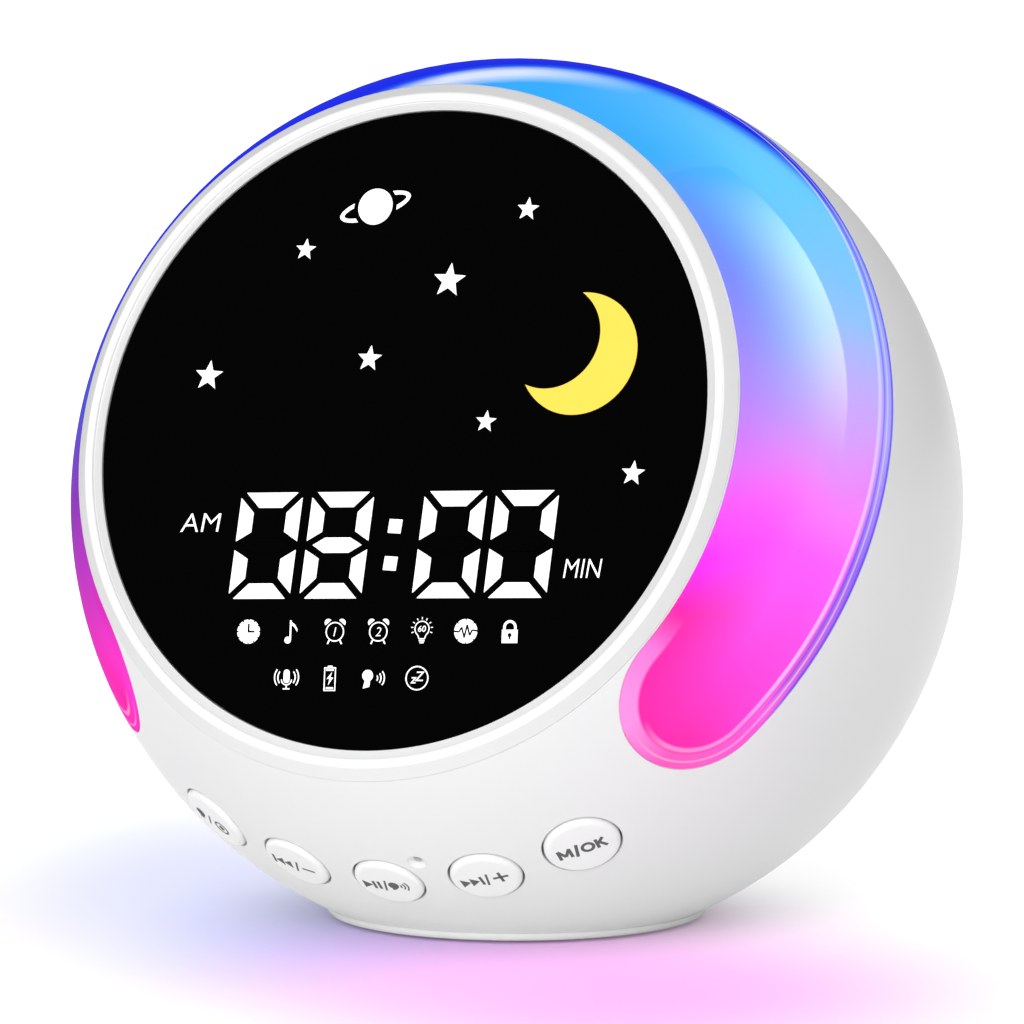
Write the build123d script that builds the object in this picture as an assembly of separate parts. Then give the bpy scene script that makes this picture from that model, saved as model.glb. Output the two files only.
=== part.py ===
from build123d import *

import math
import os

# A ball-shaped bedside alarm clock for children. A tilted round display is let into the
# front, a crescent night light wraps over the top of it, five buttons sit below it, and the
# ball stands on a flat base. The origin is the centre of the footprint, +Z is up, the display
# looks along -Y, and +X is on the right of someone who reads the clock.
# Millimetres and degrees.

# ------------------------------------------------------------------ driving sizes

# clearances
SEAT_GAP = 0.05         # between faces that are glued or clamped together
SLIP = 0.15             # between fixed pieces that slide into each other
RUN = 0.3               # round everything that moves

# ball
BODY_RADIUS = 62.0
BODY_WALL = 2.4
DISPLAY_TILT = 21.4     # the display axis points this far above the horizon
DISPLAY_CUT_RADIUS = 49.1
SEAM_RADIUS = 53.7      # edge of the rear cover
BASE_RADIUS = 26.5
BASE_EDGE = 1.1         # height of the base plate's visible edge
BASE_ROUND = 0.8
FLOOR_WALL = 2.4

# collar behind the display's edge
COLLAR_WALL = 1.6
COLLAR_INSET = 0.1      # of its outer face from the display's cut
LEDGE_THICKNESS = 1.7   # ring under the lens
SEAT_INNER_BAND = 2.7   # ring under the display board, inside its screws
SEAT_THICKNESS = 2.0

# bezel
BEZEL_INNER_RISE = 1.1  # above the collar's top
BEZEL_CREST_RISE = 1.8
BEZEL_OUTER_BAND = 1.7      # sloping, from the display's cut to the crest
BEZEL_CREST_WIDTH = 1.15
BEZEL_INNER_BAND = 1.2      # flat, between the crest and the lens

# display
LENS_THICKNESS = 1.6
LENS_SET_BACK = 0.2
REFLECTOR_THICKNESS = 4.0
BOARD_THICKNESS = 1.6
GUIDE_PROUD = 0.04      # light guides stand this far out of the lens
GUIDE_DEPTH = 3.4       # and reach this far down into the reflector
DISPLAY_CHIP_SIZE = 1.0
DISPLAY_CHIP_HEIGHT = 0.5
DISPLAY_SCREW_INSET = 2.84  # from the display board's edge
DISPLAY_SCREW_LENGTH = 6.0

# figures on the display, seen from the front
ROW_CENTRE_X = 1.7
ROW_SLOPE = 3.4         # rows climb this much to the right
DIGIT_LEAN = 2.3        # to the left
DIGIT_WIDTH = 9.3
DIGIT_HEIGHT = 15.0
DIGIT_ROW_Y = -16.3
DIGIT_LEFT_EDGES = (-22.0, -11.3, 5.5, 16.1)
SEGMENT_WIDTH = 2.2
SEGMENT_SPLIT = 0.95    # gap between neighbouring segments
MIDDLE_SLOPE = 31.0     # pointed ends of the middle segment
COLON_SIZE = 2.0
COLON_SPREAD = 5.2
ICON_WELL_RADIUS = 2.6
ICON_PITCH = 6.48
UPPER_ICON_COUNT = 7
UPPER_ICON_ROW = (-17.7, -28.4)     # first icon of each row
LOWER_ICON_COUNT = 4
LOWER_ICON_ROW = (-10.8, -34.4)
MOON_RADIUS = 8.6
MOON_PLACE = (24.6, 11.6)
MOON_BITE_RADIUS = 7.3
MOON_BITE_SHIFT = (-4.6, 2.2)
STAR_INNER_SHARE = 0.42
STARS = ((-30.5, 6.0, 2.3), (-19.0, 24.5, 1.7), (-6.5, 9.5, 2.0), (3.5, 21.0, 2.6),
         (13.5, 31.5, 1.8), (12.5, 1.5, 1.7), (35.4, -4.6, 1.9))
PLANET_PLACE = (-9.5, 31.0)
PLANET_RADIUS = 2.6
PLANET_RING = (5.4, 1.7)
PLANET_RING_WIDTH = 0.7
PLANET_RING_GAP = 0.6
PLANET_TILT = 20.0

# crescent night light
LIGHT_OUTER_ANGLE = 78.0    # outer edge, seen from the ball's centre about its own axis
LIGHT_AXIS_LIFT = 6.3       # which points this much higher than the display's
LIGHT_END_CLOCK = 55.2      # the round ends, counted from the display's lowest point
COVER_THICKNESS = 2.3
LIGHT_LAND = 0.2            # white rim between the bezel and the light
LIGHT_LEDGE_WIDTH = 1.3
LIGHT_LEDGE_OVERLAP = 1.2
LIGHT_LEDGE_THICKNESS = 2.0
DIFFUSER_THICKNESS = 1.8
TRAY_DEPTH = 8.0
TRAY_WALL = 2.2
TRAY_FLOOR = 1.5
STRIP_WIDTH = 4.4
STRIP_THICKNESS = 0.4
LIGHT_CHIP = (3.5, 2.8, 1.0)
LIGHT_CHIP_COUNT = 17
LIGHT_CHIP_END_CLOCK = 62.0
STRIP_END_CLOCK = 57.0

# buttons
BUTTON_NAMES = ("lamp", "previous", "play", "next", "ok")
BUTTON_POLAR = 71.3         # from the display axis
BUTTON_PITCH = 14.15        # round the display axis
BUTTON_RADIUS = 4.95
END_BUTTON_RADIUS = 5.25
BUTTON_PROUD = 0.6
BUTTON_CAP_LENGTH = 3.6
BUTTON_ROUND = 0.9
BUTTON_TAB_LENGTH = 6.3
BUTTON_TAB_WIDTH = 3.0
BUTTON_TAB_THICKNESS = 1.0
BUTTON_STEM_RADIUS = 1.8
BUTTON_STEM_LENGTH = 5.2
BUTTON_TRAVEL = 0.6

# switches behind the buttons
PLUNGER_RADIUS = 1.6
PLUNGER_LENGTH = 1.7
SWITCH_SIZE = 6.0
SWITCH_HEIGHT = 3.6
SWITCH_WELL_DEPTH = 1.8
SWITCH_BOARD_SIZE = 8.6
SWITCH_BOARD_THICKNESS = 1.2
BRACKET_THICKNESS = 3.4
BRACKET_HALF_ANGLE = 6.2    # across, about the ball's centre
BRACKET_SCREW_CLOCK = 38.5
BRACKET_END_CLOCK = 42.5
BRACKET_BOSS_RADIUS = 2.8
BRACKET_SCREW_LENGTH = 8.0

# microphone
MIC_POLAR = 66.85
MIC_CLOCK = 6.0
MIC_DIMPLE_RADIUS = 1.35
MIC_DIMPLE_DEPTH = 0.7
MIC_HOLE_RADIUS = 0.6
MIC_BOOT_RADIUS = 1.9
MIC_BOOT_LENGTH = 3.0
MIC_RADIUS = 1.4
MIC_LENGTH = 1.6

# main board
PILLAR_LENGTH = 8.0
PILLAR_RADIUS = 3.2
BOARD_SCREW_LENGTH = 7.0
CHIPS = ((0, 0, 10, 10, 1.2), (-15, 6, 6, 5, 1.5), (14, 10, 5, 5, 1.0), (-9, -15, 8, 6, 1.6),
         (6, -17, 4, 4, 0.9))       # place, then length, width and height
CAPACITORS = ((18, -12), (24, -6))
CAPACITOR_RADIUS = 2.5
CAPACITOR_HEIGHT = 7.0
LEAD_SOCKET = (7.5, 5.5, 5.0)
LEAD_SOCKETS = ((-25, 6), (-25, -4), (24, 8), (0, -29))
MAIN_BOARD_RIM = 3.2        # board outside the screw circle
HEADER_SIZE = (20.3, 5.0)
HEADER_PLACE = (0.0, 22.0)

# fasteners
SCREW_RADIUS = 1.25         # self-tapping screws of one size
SCREW_HEAD_RADIUS = 2.4
SCREW_HEAD_HEIGHT = 1.7
SCREW_HOLE_RADIUS = 1.6     # clearance hole
SCREW_PILOT_GAP = 0.03      # round the thread in its boss
SMALL_SCREW_RADIUS = 0.85
SMALL_HEAD_RADIUS = 1.6
SMALL_HEAD_HEIGHT = 1.1
SMALL_HOLE_RADIUS = 1.1
BOSS_RADIUS = 3.5
SCREW_PILOT_SPARE = 0.4     # hole left past the screw's tip
SCREW_HEAD_ROUND = 0.4      # shares of the head
SCREW_SLOT_SPAN = 1.1
SCREW_SLOT_WIDTH = 0.26

# base
BASE_SPIGOT_RADIUS = 22.0
BASE_SPIGOT_HEIGHT = 3.2
BASE_SCREW_CIRCLE = 13.0
BASE_SCREW_COUNT = 3
BASE_SCREW_LENGTH = 6.5
BASE_BOSS_HEIGHT = 3.4
FOOT_RADIUS = 20.6
FOOT_THICKNESS = 1.0
FOOT_PROUD = 0.4
FOOT_ROUND = 0.25

# rear cover
REAR_SCREW_CIRCLE = 47.0
REAR_SCREW_COUNT = 4
REAR_BOSS_LENGTH = 10.0
REAR_SCREW_SEAT = 3.4       # plastic under the screw head
REAR_SCREW_LENGTH = 10.0
REAR_RECESS_RADIUS = 3.0
REAR_RIB_THICKNESS = 1.8
LIP_LENGTH = 3.0
LIP_WALL = 1.5
LIP_NOTCH_GAP = 0.5         # round the posts that the lip passes

# speaker
SPEAKER_RADIUS = 20.6
SPEAKER_FLANGE = 1.0
SPEAKER_SEAT_DEPTH = 49.0   # from the ball's centre to the seat in the rear cover
SPEAKER_TUBE_BORE = 18.4
SPEAKER_EAR_RADIUS = 3.2
SPEAKER_SCREW_CIRCLE = 22.8
SPEAKER_SCREW_LENGTH = 5.0
GASKET_THICKNESS = 0.8
CONE_RADIUS = 17.6
CONE_NECK_RADIUS = 6.0
CONE_DEPTH = 6.5
CONE_SKIN = 0.5
DUST_CAP_RADIUS = 7.0
BASKET_DEPTH = 9.0
BASKET_WALL = 0.8
MAGNET_RADIUS = 13.0
MAGNET_LENGTH = 7.0
MAGNET_BEVEL = 0.6
GRILLE_HOLE_RADIUS = 0.9
GRILLE_PITCH = 3.5
GRILLE_RINGS = 4

# power inlet
INLET_DROP = 33.0           # below the ball's centre
INLET_POCKET_RADIUS = 6.8
INLET_POCKET_WALL = 1.6
INLET_POCKET_FLOOR = 47.0   # from the ball's centre
INLET_FLOOR_WALL = 1.8
SOCKET_WIDTH = 8.94
SOCKET_HEIGHT = 3.26
SOCKET_LENGTH = 7.3
SOCKET_SHEET = 0.3
SOCKET_TONGUE = (6.6, 0.7, 4.6)
INLET_BOARD = (17.0, 13.0, 1.2)
INLET_SHELF_THICKNESS = 2.2
INLET_SCREW_SPREAD = 12.4
INLET_SCREW_BACK = 10.2     # from the board's outer edge
INLET_SCREW_LENGTH = 3.0

# battery
CELL_RADIUS = 9.2
CELL_LENGTH = 65.0
CELL_SETBACK = 9.0          # behind the ball's centre
CELL_BUTTON = (3.0, 0.8)
CRADLE_WALL = 1.8
CRADLE_STAND = 5.25         # of its trough above the floor
CRADLE_LEG_SPREAD = 40.0
CRADLE_LEG_THICKNESS = 3.0
CRADLE_LEG_WIDTH = 15.0
CRADLE_FOOT = (8.0, 8.0, 2.0)
CRADLE_SCREW_LENGTH = 3.6

# ------------------------------------------------------------------ places worked out


def leg(long_side, short_side):
    """The third side of a right-angled triangle."""
    return math.sqrt(long_side ** 2 - short_side ** 2)


FAR = 4 * BODY_RADIUS       # reaches past everything
BASE_BOTTOM = FOOT_PROUD
BASE_TOP = BASE_BOTTOM + BASE_EDGE
CENTRE_HEIGHT = BASE_TOP + leg(BODY_RADIUS, BASE_RADIUS)
CENTRE = Vector(0, 0, CENTRE_HEIGHT)
FLOOR_BOTTOM = BASE_TOP + BASE_SPIGOT_HEIGHT + SEAT_GAP
FLOOR_TOP = FLOOR_BOTTOM + FLOOR_WALL
INSIDE_RADIUS = BODY_RADIUS - BODY_WALL
SEAM_BACK = leg(BODY_RADIUS, SEAM_RADIUS)

TILT_SIN = math.sin(math.radians(DISPLAY_TILT))
TILT_COS = math.cos(math.radians(DISPLAY_TILT))
DISPLAY_AXIS = Vector(0, -TILT_COS, TILT_SIN)
DISPLAY = Plane(origin=CENTRE, x_dir=(1, 0, 0), z_dir=DISPLAY_AXIS)
DISPLAY_BEHIND = Plane(origin=CENTRE, x_dir=(-1, 0, 0), z_dir=-DISPLAY_AXIS)
BALL = Plane(origin=CENTRE, x_dir=(0, 0.39, 0.92), z_dir=(1, 0, 0))
SKIN_BALL = Plane(origin=CENTRE, x_dir=(0, 0.6, -0.8), z_dir=(1, 0, 0))
UP = Plane.XY
DOWN = Plane(origin=(0, 0, 0), x_dir=(1, 0, 0), z_dir=(0, 0, -1))
BACK = Plane(origin=CENTRE, x_dir=(-1, 0, 0), z_dir=(0, 1, 0))
TO_BACK = Plane(origin=CENTRE, x_dir=(1, 0, 0), z_dir=(0, -1, 0))

# heights along the display axis, from the ball's centre
COLLAR_TOP = leg(BODY_RADIUS, DISPLAY_CUT_RADIUS)
CUT_ANGLE = math.degrees(math.asin(DISPLAY_CUT_RADIUS / BODY_RADIUS))
COLLAR_OUTSIDE_ANGLE = CUT_ANGLE - math.degrees(COLLAR_INSET / BODY_RADIUS)
COLLAR_INSIDE_ANGLE = COLLAR_OUTSIDE_ANGLE - math.degrees(COLLAR_WALL / BODY_RADIUS)
COLLAR_INSIDE_SLOPE = math.tan(math.radians(COLLAR_INSIDE_ANGLE))
BEZEL_CREST_OUTSIDE = DISPLAY_CUT_RADIUS - BEZEL_OUTER_BAND
BEZEL_CREST_INSIDE = BEZEL_CREST_OUTSIDE - BEZEL_CREST_WIDTH
BEZEL_BORE = BEZEL_CREST_INSIDE - BEZEL_INNER_BAND
LENS_RADIUS = BEZEL_BORE - SLIP
BEZEL_INNER_TOP = COLLAR_TOP + BEZEL_INNER_RISE
BEZEL_CREST_TOP = COLLAR_TOP + BEZEL_CREST_RISE
LENS_TOP = BEZEL_INNER_TOP - LENS_SET_BACK
LENS_BOTTOM = LENS_TOP - LENS_THICKNESS
LEDGE_TOP = LENS_BOTTOM - SEAT_GAP
REFLECTOR_BOTTOM = LENS_BOTTOM - REFLECTOR_THICKNESS
DISPLAY_BOARD_BOTTOM = REFLECTOR_BOTTOM - BOARD_THICKNESS
SEAT_BOTTOM = DISPLAY_BOARD_BOTTOM - SEAT_THICKNESS
MAIN_BOARD_TOP = SEAT_BOTTOM - PILLAR_LENGTH
MAIN_BOARD_BOTTOM = MAIN_BOARD_TOP - BOARD_THICKNESS
REFLECTOR_RADIUS = REFLECTOR_BOTTOM * COLLAR_INSIDE_SLOPE - SLIP
DISPLAY_BOARD_RADIUS = DISPLAY_BOARD_BOTTOM * COLLAR_INSIDE_SLOPE - SLIP
DISPLAY_SCREW_CIRCLE = DISPLAY_BOARD_RADIUS - DISPLAY_SCREW_INSET
SEAT_BORE = DISPLAY_SCREW_CIRCLE - SEAT_INNER_BAND
MAIN_BOARD_RADIUS = DISPLAY_SCREW_CIRCLE + MAIN_BOARD_RIM

# distances from the ball's centre inside the light, and its outline
LIGHT_INNER_ANGLE = CUT_ANGLE + math.degrees(LIGHT_LAND / BODY_RADIUS)
LIGHT_MIDDLE_ANGLE = (LIGHT_INNER_ANGLE + LIGHT_OUTER_ANGLE) / 2
COVER_INSIDE = BODY_RADIUS - COVER_THICKNESS
LIGHT_LEDGE_TOP = COVER_INSIDE - SEAT_GAP
LIGHT_LEDGE_BOTTOM = LIGHT_LEDGE_TOP - LIGHT_LEDGE_THICKNESS
DIFFUSER_OUTSIDE = LIGHT_LEDGE_BOTTOM + DIFFUSER_THICKNESS
TRAY_OUTSIDE = LIGHT_LEDGE_BOTTOM - SEAT_GAP
TRAY_INSIDE = TRAY_OUTSIDE - TRAY_DEPTH
STRIP_INSIDE = TRAY_INSIDE + TRAY_FLOOR
STRIP_OUTSIDE = STRIP_INSIDE + STRIP_THICKNESS

# distances from the ball's centre along each button
CAP_TOP = BODY_RADIUS + BUTTON_PROUD
TAB_TOP = leg(INSIDE_RADIUS, BUTTON_TAB_LENGTH + BUTTON_TAB_WIDTH / 2) - RUN
CAP_BOTTOM = min(CAP_TOP - BUTTON_CAP_LENGTH, TAB_TOP - BUTTON_TAB_THICKNESS)
STEM_BOTTOM = CAP_BOTTOM - BUTTON_STEM_LENGTH
PLUNGER_BOTTOM = STEM_BOTTOM - PLUNGER_LENGTH
SWITCH_TOP = STEM_BOTTOM - BUTTON_TRAVEL - RUN
SWITCH_BOTTOM = SWITCH_TOP - SWITCH_HEIGHT
SWITCH_BOARD_BOTTOM = SWITCH_BOTTOM - SWITCH_BOARD_THICKNESS
BRACKET_OUTSIDE = SWITCH_BOARD_BOTTOM + RUN
BRACKET_INSIDE = BRACKET_OUTSIDE - BRACKET_THICKNESS

# distances from the ball's centre towards the back
GASKET_FRONT = SPEAKER_SEAT_DEPTH - GASKET_THICKNESS
FLANGE_FRONT = GASKET_FRONT - SPEAKER_FLANGE
MAGNET_BACK = FLANGE_FRONT - BASKET_DEPTH
SOCKET_MOUTH = INLET_POCKET_FLOOR - SEAT_GAP
SHELF_FRONT = INLET_POCKET_FLOOR - INLET_FLOOR_WALL - INLET_BOARD[1] - SLIP
REAR_HEAD_SEAT = SEAM_BACK + REAR_SCREW_SEAT
SOCKET_BOARD_EDGE = INLET_POCKET_FLOOR - INLET_FLOOR_WALL - SLIP

# heights
FOOT_TOP = FOOT_THICKNESS + SEAT_GAP
BASE_HEAD_SEAT = FOOT_TOP + SCREW_HEAD_HEIGHT + SLIP
INLET_BOARD_TOP = -INLET_DROP - SOCKET_HEIGHT / 2       # from the ball's centre
INLET_BOARD_BOTTOM = INLET_BOARD_TOP - INLET_BOARD[2]
MIC_BOOT_INNER_END = INSIDE_RADIUS - MIC_BOOT_LENGTH

CRADLE_BOTTOM = FLOOR_TOP + CRADLE_STAND
CELL_CENTRE = Vector(0, CELL_SETBACK, CRADLE_BOTTOM + CRADLE_WALL + SLIP + CELL_RADIUS)

# ------------------------------------------------------------------ shared shapes


def aim(polar, clock, lift=0.0):
    """The direction at an angle from the display axis, turned clock degrees from straight down
    towards +X. lift raises the axis that both are counted from."""
    tilt = math.radians(DISPLAY_TILT + lift)
    p, c = math.radians(polar), math.radians(clock)
    across, up, out = math.sin(p) * math.sin(c), -math.sin(p) * math.cos(c), math.cos(p)
    return Vector(across,
                  up * math.sin(tilt) - out * math.cos(tilt),
                  up * math.cos(tilt) + out * math.sin(tilt))


def radial(polar, clock, lift=0.0):
    """A plane at the ball's centre that looks out at that direction, with its y axis up."""
    sideways = aim(90, clock + 90, lift)
    return Plane(origin=CENTRE, x_dir=sideways, z_dir=aim(polar, clock, lift))


def ball(radius):
    """A solid ball about the body's centre. Its poles are on the left and right, and its seam
    runs between the light and the rear cover, where nothing is cut."""
    return BALL * Sphere(radius)


def layer(inside, outside):
    """The skin between two balls."""
    return ball(outside) - ball(inside)


def belt(plane, inside, outside, from_angle, to_angle):
    """The skin between two balls, between two angles from a plane's axis."""
    corners = []
    for radius in (inside, outside):
        for angle in (from_angle, (from_angle + to_angle) / 2, to_angle):
            height, across = on_circle(radius, angle)
            corners.append((across, height))
    inner, outer = corners[:3], corners[3:]
    profile = ThreePointArc(*inner) + Line(inner[2], outer[2])
    profile += ThreePointArc(*outer) + Line(outer[0], inner[0])
    return plane * revolve(Plane.XZ * make_face(profile), Axis.Z)


def rod(plane, radius, near, far, x=0.0, y=0.0):
    """A cylinder along a plane's axis, from near to far."""
    return plane * Pos(x, y, (near + far) / 2) * Cylinder(radius, far - near)


def ring(plane, inside, outside, near, far):
    """A flat ring about a plane's axis."""
    return rod(plane, outside, near, far) - rod(plane, inside, near, far)


def block(plane, size, near, x=0.0, y=0.0):
    """A block of size (x, y, z) that stands on near."""
    return plane * Pos(x, y, near + size[2] / 2) * Box(*size)


def cone(plane, half_angle, near=5.0, far=2 * BODY_RADIUS):
    """All that lies within an angle of a plane's axis, seen from the ball's centre."""
    slope = math.tan(math.radians(half_angle))
    return plane * Pos(0, 0, (near + far) / 2) * Cone(near * slope, far * slope, far - near)


def beyond(plane, distance):
    """Half of space: all that lies further than distance along a plane's axis."""
    return plane * Pos(0, 0, distance + FAR / 2) * Box(2 * FAR, 2 * FAR, FAR)


def turned(count, start=0.0):
    """The angles of count places spread evenly round a circle."""
    return [start + 360.0 * i / count for i in range(count)]


def on_circle(radius, angle):
    return radius * math.cos(math.radians(angle)), radius * math.sin(math.radians(angle))


def top_edge(solid, plane):
    """The edge of a solid that lies furthest along a plane's axis."""
    return solid.edges().sort_by(Axis(plane.origin, plane.z_dir))[-1]


def screw(plane, seat, length, x=0.0, y=0.0, small=False):
    """A cross-head screw that points against a plane's axis. Its head stands on seat."""
    shank = SMALL_SCREW_RADIUS if small else SCREW_RADIUS
    head = SMALL_HEAD_RADIUS if small else SCREW_HEAD_RADIUS
    height = SMALL_HEAD_HEIGHT if small else SCREW_HEAD_HEIGHT
    slot = (head * SCREW_SLOT_SPAN, head * SCREW_SLOT_WIDTH, height)
    body = rod(plane, head, seat, seat + height, x, y)
    body = fillet(top_edge(body, plane), height * SCREW_HEAD_ROUND)
    body -= block(plane, slot, seat + height / 2, x, y)
    body -= block(plane, (slot[1], slot[0], height), seat + height / 2, x, y)
    return body + rod(plane, shank, seat - length, seat, x, y)


def pilot(plane, seat, length, x=0.0, y=0.0, small=False):
    """The hole that a screw of that length cuts its thread in, from its head's seat."""
    radius = (SMALL_SCREW_RADIUS if small else SCREW_RADIUS) + SCREW_PILOT_GAP
    return rod(plane, radius, seat - length - SCREW_PILOT_SPARE, seat, x, y)


def group(solids):
    """Separate solids that share one node."""
    return Compound(children=list(solids))


# ------------------------------------------------------------------ outline of the light


def end_cap(widen):
    """The angle from the display axis of the middle of a round end, and its own radius as an
    angle. The end touches both edges of the crescent."""
    both = math.radians(LIGHT_INNER_ANGLE + LIGHT_OUTER_ANGLE)
    lift = math.radians(LIGHT_AXIS_LIFT)
    clock = math.radians(LIGHT_END_CLOCK)
    middle = math.degrees(math.atan2(math.cos(lift) - math.cos(both),
                                     math.sin(both) + math.sin(lift) * math.cos(clock)))
    return middle, middle - LIGHT_INNER_ANGLE + widen


def below_end(side, widen):
    """Half of space on the lower side of a round end, cut where the end meets both edges."""
    middle, radius = end_cap(widen)
    end = aim(middle, side * LIGHT_END_CLOCK)
    axis = aim(0, 0, LIGHT_AXIS_LIFT)
    sideways = (end - axis * end.dot(axis)).normalized()
    outer = math.radians(LIGHT_OUTER_ANGLE + widen)
    outer_touch = axis * math.cos(outer) + sideways * math.sin(outer)
    inner_touch = aim(middle - radius, side * LIGHT_END_CLOCK)
    normal = outer_touch.cross(inner_touch) * side
    return beyond(Plane(origin=CENTRE, z_dir=normal), 0)


def crescent(inside, outside, grow, seam=90):
    """The skin between two balls, within the light's outline. grow moves the whole outline
    outwards by that much, measured on the body's ball. seam is the clock angle at which the
    round edges start."""
    widen = math.degrees(grow / BODY_RADIUS)
    skin = SKIN_BALL * Sphere(outside) - SKIN_BALL * Sphere(inside)
    band = skin & cone(radial(0, seam - 90, LIGHT_AXIS_LIFT), LIGHT_OUTER_ANGLE + widen)
    band -= cone(radial(0, seam - 90), LIGHT_INNER_ANGLE - widen)
    band -= below_end(1, widen) & below_end(-1, widen)
    middle, radius = end_cap(widen)
    for side in (1, -1):
        plane = radial(middle, side * LIGHT_END_CLOCK)
        turned_away = Plane(origin=CENTRE, x_dir=plane.x_dir * side, z_dir=plane.z_dir)
        end = skin & cone(turned_away, radius)
        band += end & below_end(side, widen)
    return band


def below_clock(clock, lift=0.0):
    """The wedge of space whose clock angles lie between -clock and clock."""
    right = beyond(Plane(origin=CENTRE, z_dir=aim(90, clock - 90, lift)), 0)
    left = beyond(Plane(origin=CENTRE, z_dir=aim(90, 90 - clock, lift)), 0)
    return right & left


# ------------------------------------------------------------------ figures on the display


def on_row(x, y):
    """A point of a printed row, moved up with the row's slope."""
    return x, y + math.tan(math.radians(ROW_SLOPE)) * (x - ROW_CENTRE_X)


def on_digit_row(x, above):
    """A point of the row of digits, at a height above its middle, moved over with their lean."""
    return on_row(x - math.tan(math.radians(DIGIT_LEAN)) * above, DIGIT_ROW_Y + above)


def segment_points(name):
    """Corners of one of a digit's seven segments, from the digit's lower left corner."""
    wide, high, thick = DIGIT_WIDTH, DIGIT_HEIGHT, SEGMENT_WIDTH
    middle = high / 2
    slope = math.radians(MIDDLE_SLOPE)
    corner = SEGMENT_SPLIT / math.sqrt(2)
    split = SEGMENT_SPLIT / 2 / math.cos(slope)
    if name == "middle":
        tip = split / math.tan(slope)
        end = (split + thick / 2) / math.tan(slope)
        return [(tip, middle), (end, middle + thick / 2), (wide - end, middle + thick / 2),
                (wide - tip, middle), (wide - end, middle - thick / 2), (end, middle - thick / 2)]
    if name in ("top", "bottom"):
        points = [(corner, high), (wide - corner, high),
                  (wide - thick - corner, high - thick), (thick + corner, high - thick)]
    else:
        points = [(0, high - corner), (thick, high - thick - corner),
                  (thick, middle + split + thick * math.tan(slope)), (0, middle + split)]
    if name.endswith("right"):
        points = [(wide - x, y) for x, y in points]
    if name.startswith(("bottom", "lower")):
        points = [(x, high - y) for x, y in points]
    return points


SIDE_SEGMENTS = ("top", "bottom", "upper left", "upper right", "lower left", "lower right")
TIME_SHOWN = "0800"


def segment_faces(lit):
    """The segments of the four digits that are lit, or those that are dark, and the colon."""
    faces = []
    for digit, left in zip(TIME_SHOWN, DIGIT_LEFT_EDGES):
        names = SIDE_SEGMENTS if lit else ()
        if lit == (digit == "8"):
            names = names + ("middle",)
        for name in names:
            points = [on_digit_row(left + x, y - DIGIT_HEIGHT / 2)
                      for x, y in segment_points(name)]
            faces.append(Polygon(*points, align=None))
    if lit:
        for side in (1, -1):
            place = on_digit_row(ROW_CENTRE_X, side * COLON_SPREAD / 2)
            faces.append(Pos(*place) * Rectangle(COLON_SIZE, COLON_SIZE))
    return faces


def star_face(x, y, radius):
    """A five-pointed star."""
    points = []
    for i, angle in enumerate(turned(10, 90)):
        reach = radius * (STAR_INNER_SHARE if i % 2 else 1)
        across, up = on_circle(reach, angle)
        points.append((x + across, y + up))
    return Polygon(*points, align=None)


def moon_face():
    """A crescent moon: a disc with a smaller disc bitten out of it."""
    bite = Pos(MOON_BITE_SHIFT[0], MOON_BITE_SHIFT[1]) * Circle(MOON_BITE_RADIUS)
    return Pos(*MOON_PLACE) * (Circle(MOON_RADIUS) - bite)


def planet_faces(gap=0.0):
    """A ringed planet: a round globe, and what shows of the ring on either side of it. gap is
    taken off all round."""
    outer = [half - gap for half in PLANET_RING]
    inner = [half - PLANET_RING_WIDTH + gap for half in PLANET_RING]
    wings = Ellipse(*outer) - Ellipse(*inner)
    wings -= Circle(PLANET_RADIUS + PLANET_RING_GAP + gap)
    place = Pos(*PLANET_PLACE) * Rot(0, 0, PLANET_TILT)
    return [place * face for face in (wings.faces() + Circle(PLANET_RADIUS - gap).faces())]


def star_faces():
    return [star_face(*star) for star in STARS]


def icon_places():
    """Where the small symbols of the two lower rows are lit from behind."""
    upper = [(UPPER_ICON_ROW[0] + i * ICON_PITCH, UPPER_ICON_ROW[1])
             for i in range(UPPER_ICON_COUNT)]
    lower = [(LOWER_ICON_ROW[0] + i * ICON_PITCH, LOWER_ICON_ROW[1])
             for i in range(LOWER_ICON_COUNT)]
    return [on_row(x, y) for x, y in upper + lower]


def prisms(faces, near, far, shrink=0.0):
    """Solids of those outlines, from near to far along the display axis."""
    made = []
    for face in faces:
        outline = offset(face, -shrink, kind=Kind.INTERSECTION) if shrink else face
        for part in outline.faces():
            made.append(DISPLAY * Pos(0, 0, near) * extrude(part, far - near, dir=(0, 0, 1)))
    return made


def guides(faces, shrink=SEAT_GAP):
    """Light guides that carry those figures from the reflector to the lens's face."""
    return prisms(faces, LENS_TOP - GUIDE_DEPTH, LENS_TOP + GUIDE_PROUD, shrink)


def all_faces():
    return (segment_faces(True) + segment_faces(False) + [moon_face()] + star_faces()
            + planet_faces())


# ------------------------------------------------------------------ body


def collar():
    """The conical wall behind the display's edge, with a ring that the lens lies on and a
    ring that the display board is screwed to."""
    wall = rod(DISPLAY, BODY_RADIUS, SEAT_BOTTOM, COLLAR_TOP) & cone(DISPLAY, COLLAR_OUTSIDE_ANGLE)
    hollow = rod(DISPLAY, BODY_RADIUS, SEAT_BOTTOM - 1, COLLAR_TOP + 1)
    hollow &= cone(DISPLAY, COLLAR_INSIDE_ANGLE)
    hollow -= ring(DISPLAY, REFLECTOR_RADIUS + SLIP, BODY_RADIUS,
                   LEDGE_TOP - LEDGE_THICKNESS, LEDGE_TOP)
    hollow -= ring(DISPLAY, SEAT_BORE, BODY_RADIUS, SEAT_BOTTOM, DISPLAY_BOARD_BOTTOM)
    return wall - hollow


def display_screw_places():
    return [on_circle(DISPLAY_SCREW_CIRCLE, angle) for angle in turned(4, 45)]


def board_screw_places():
    return [on_circle(DISPLAY_SCREW_CIRCLE, angle) for angle in turned(4)]


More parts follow.
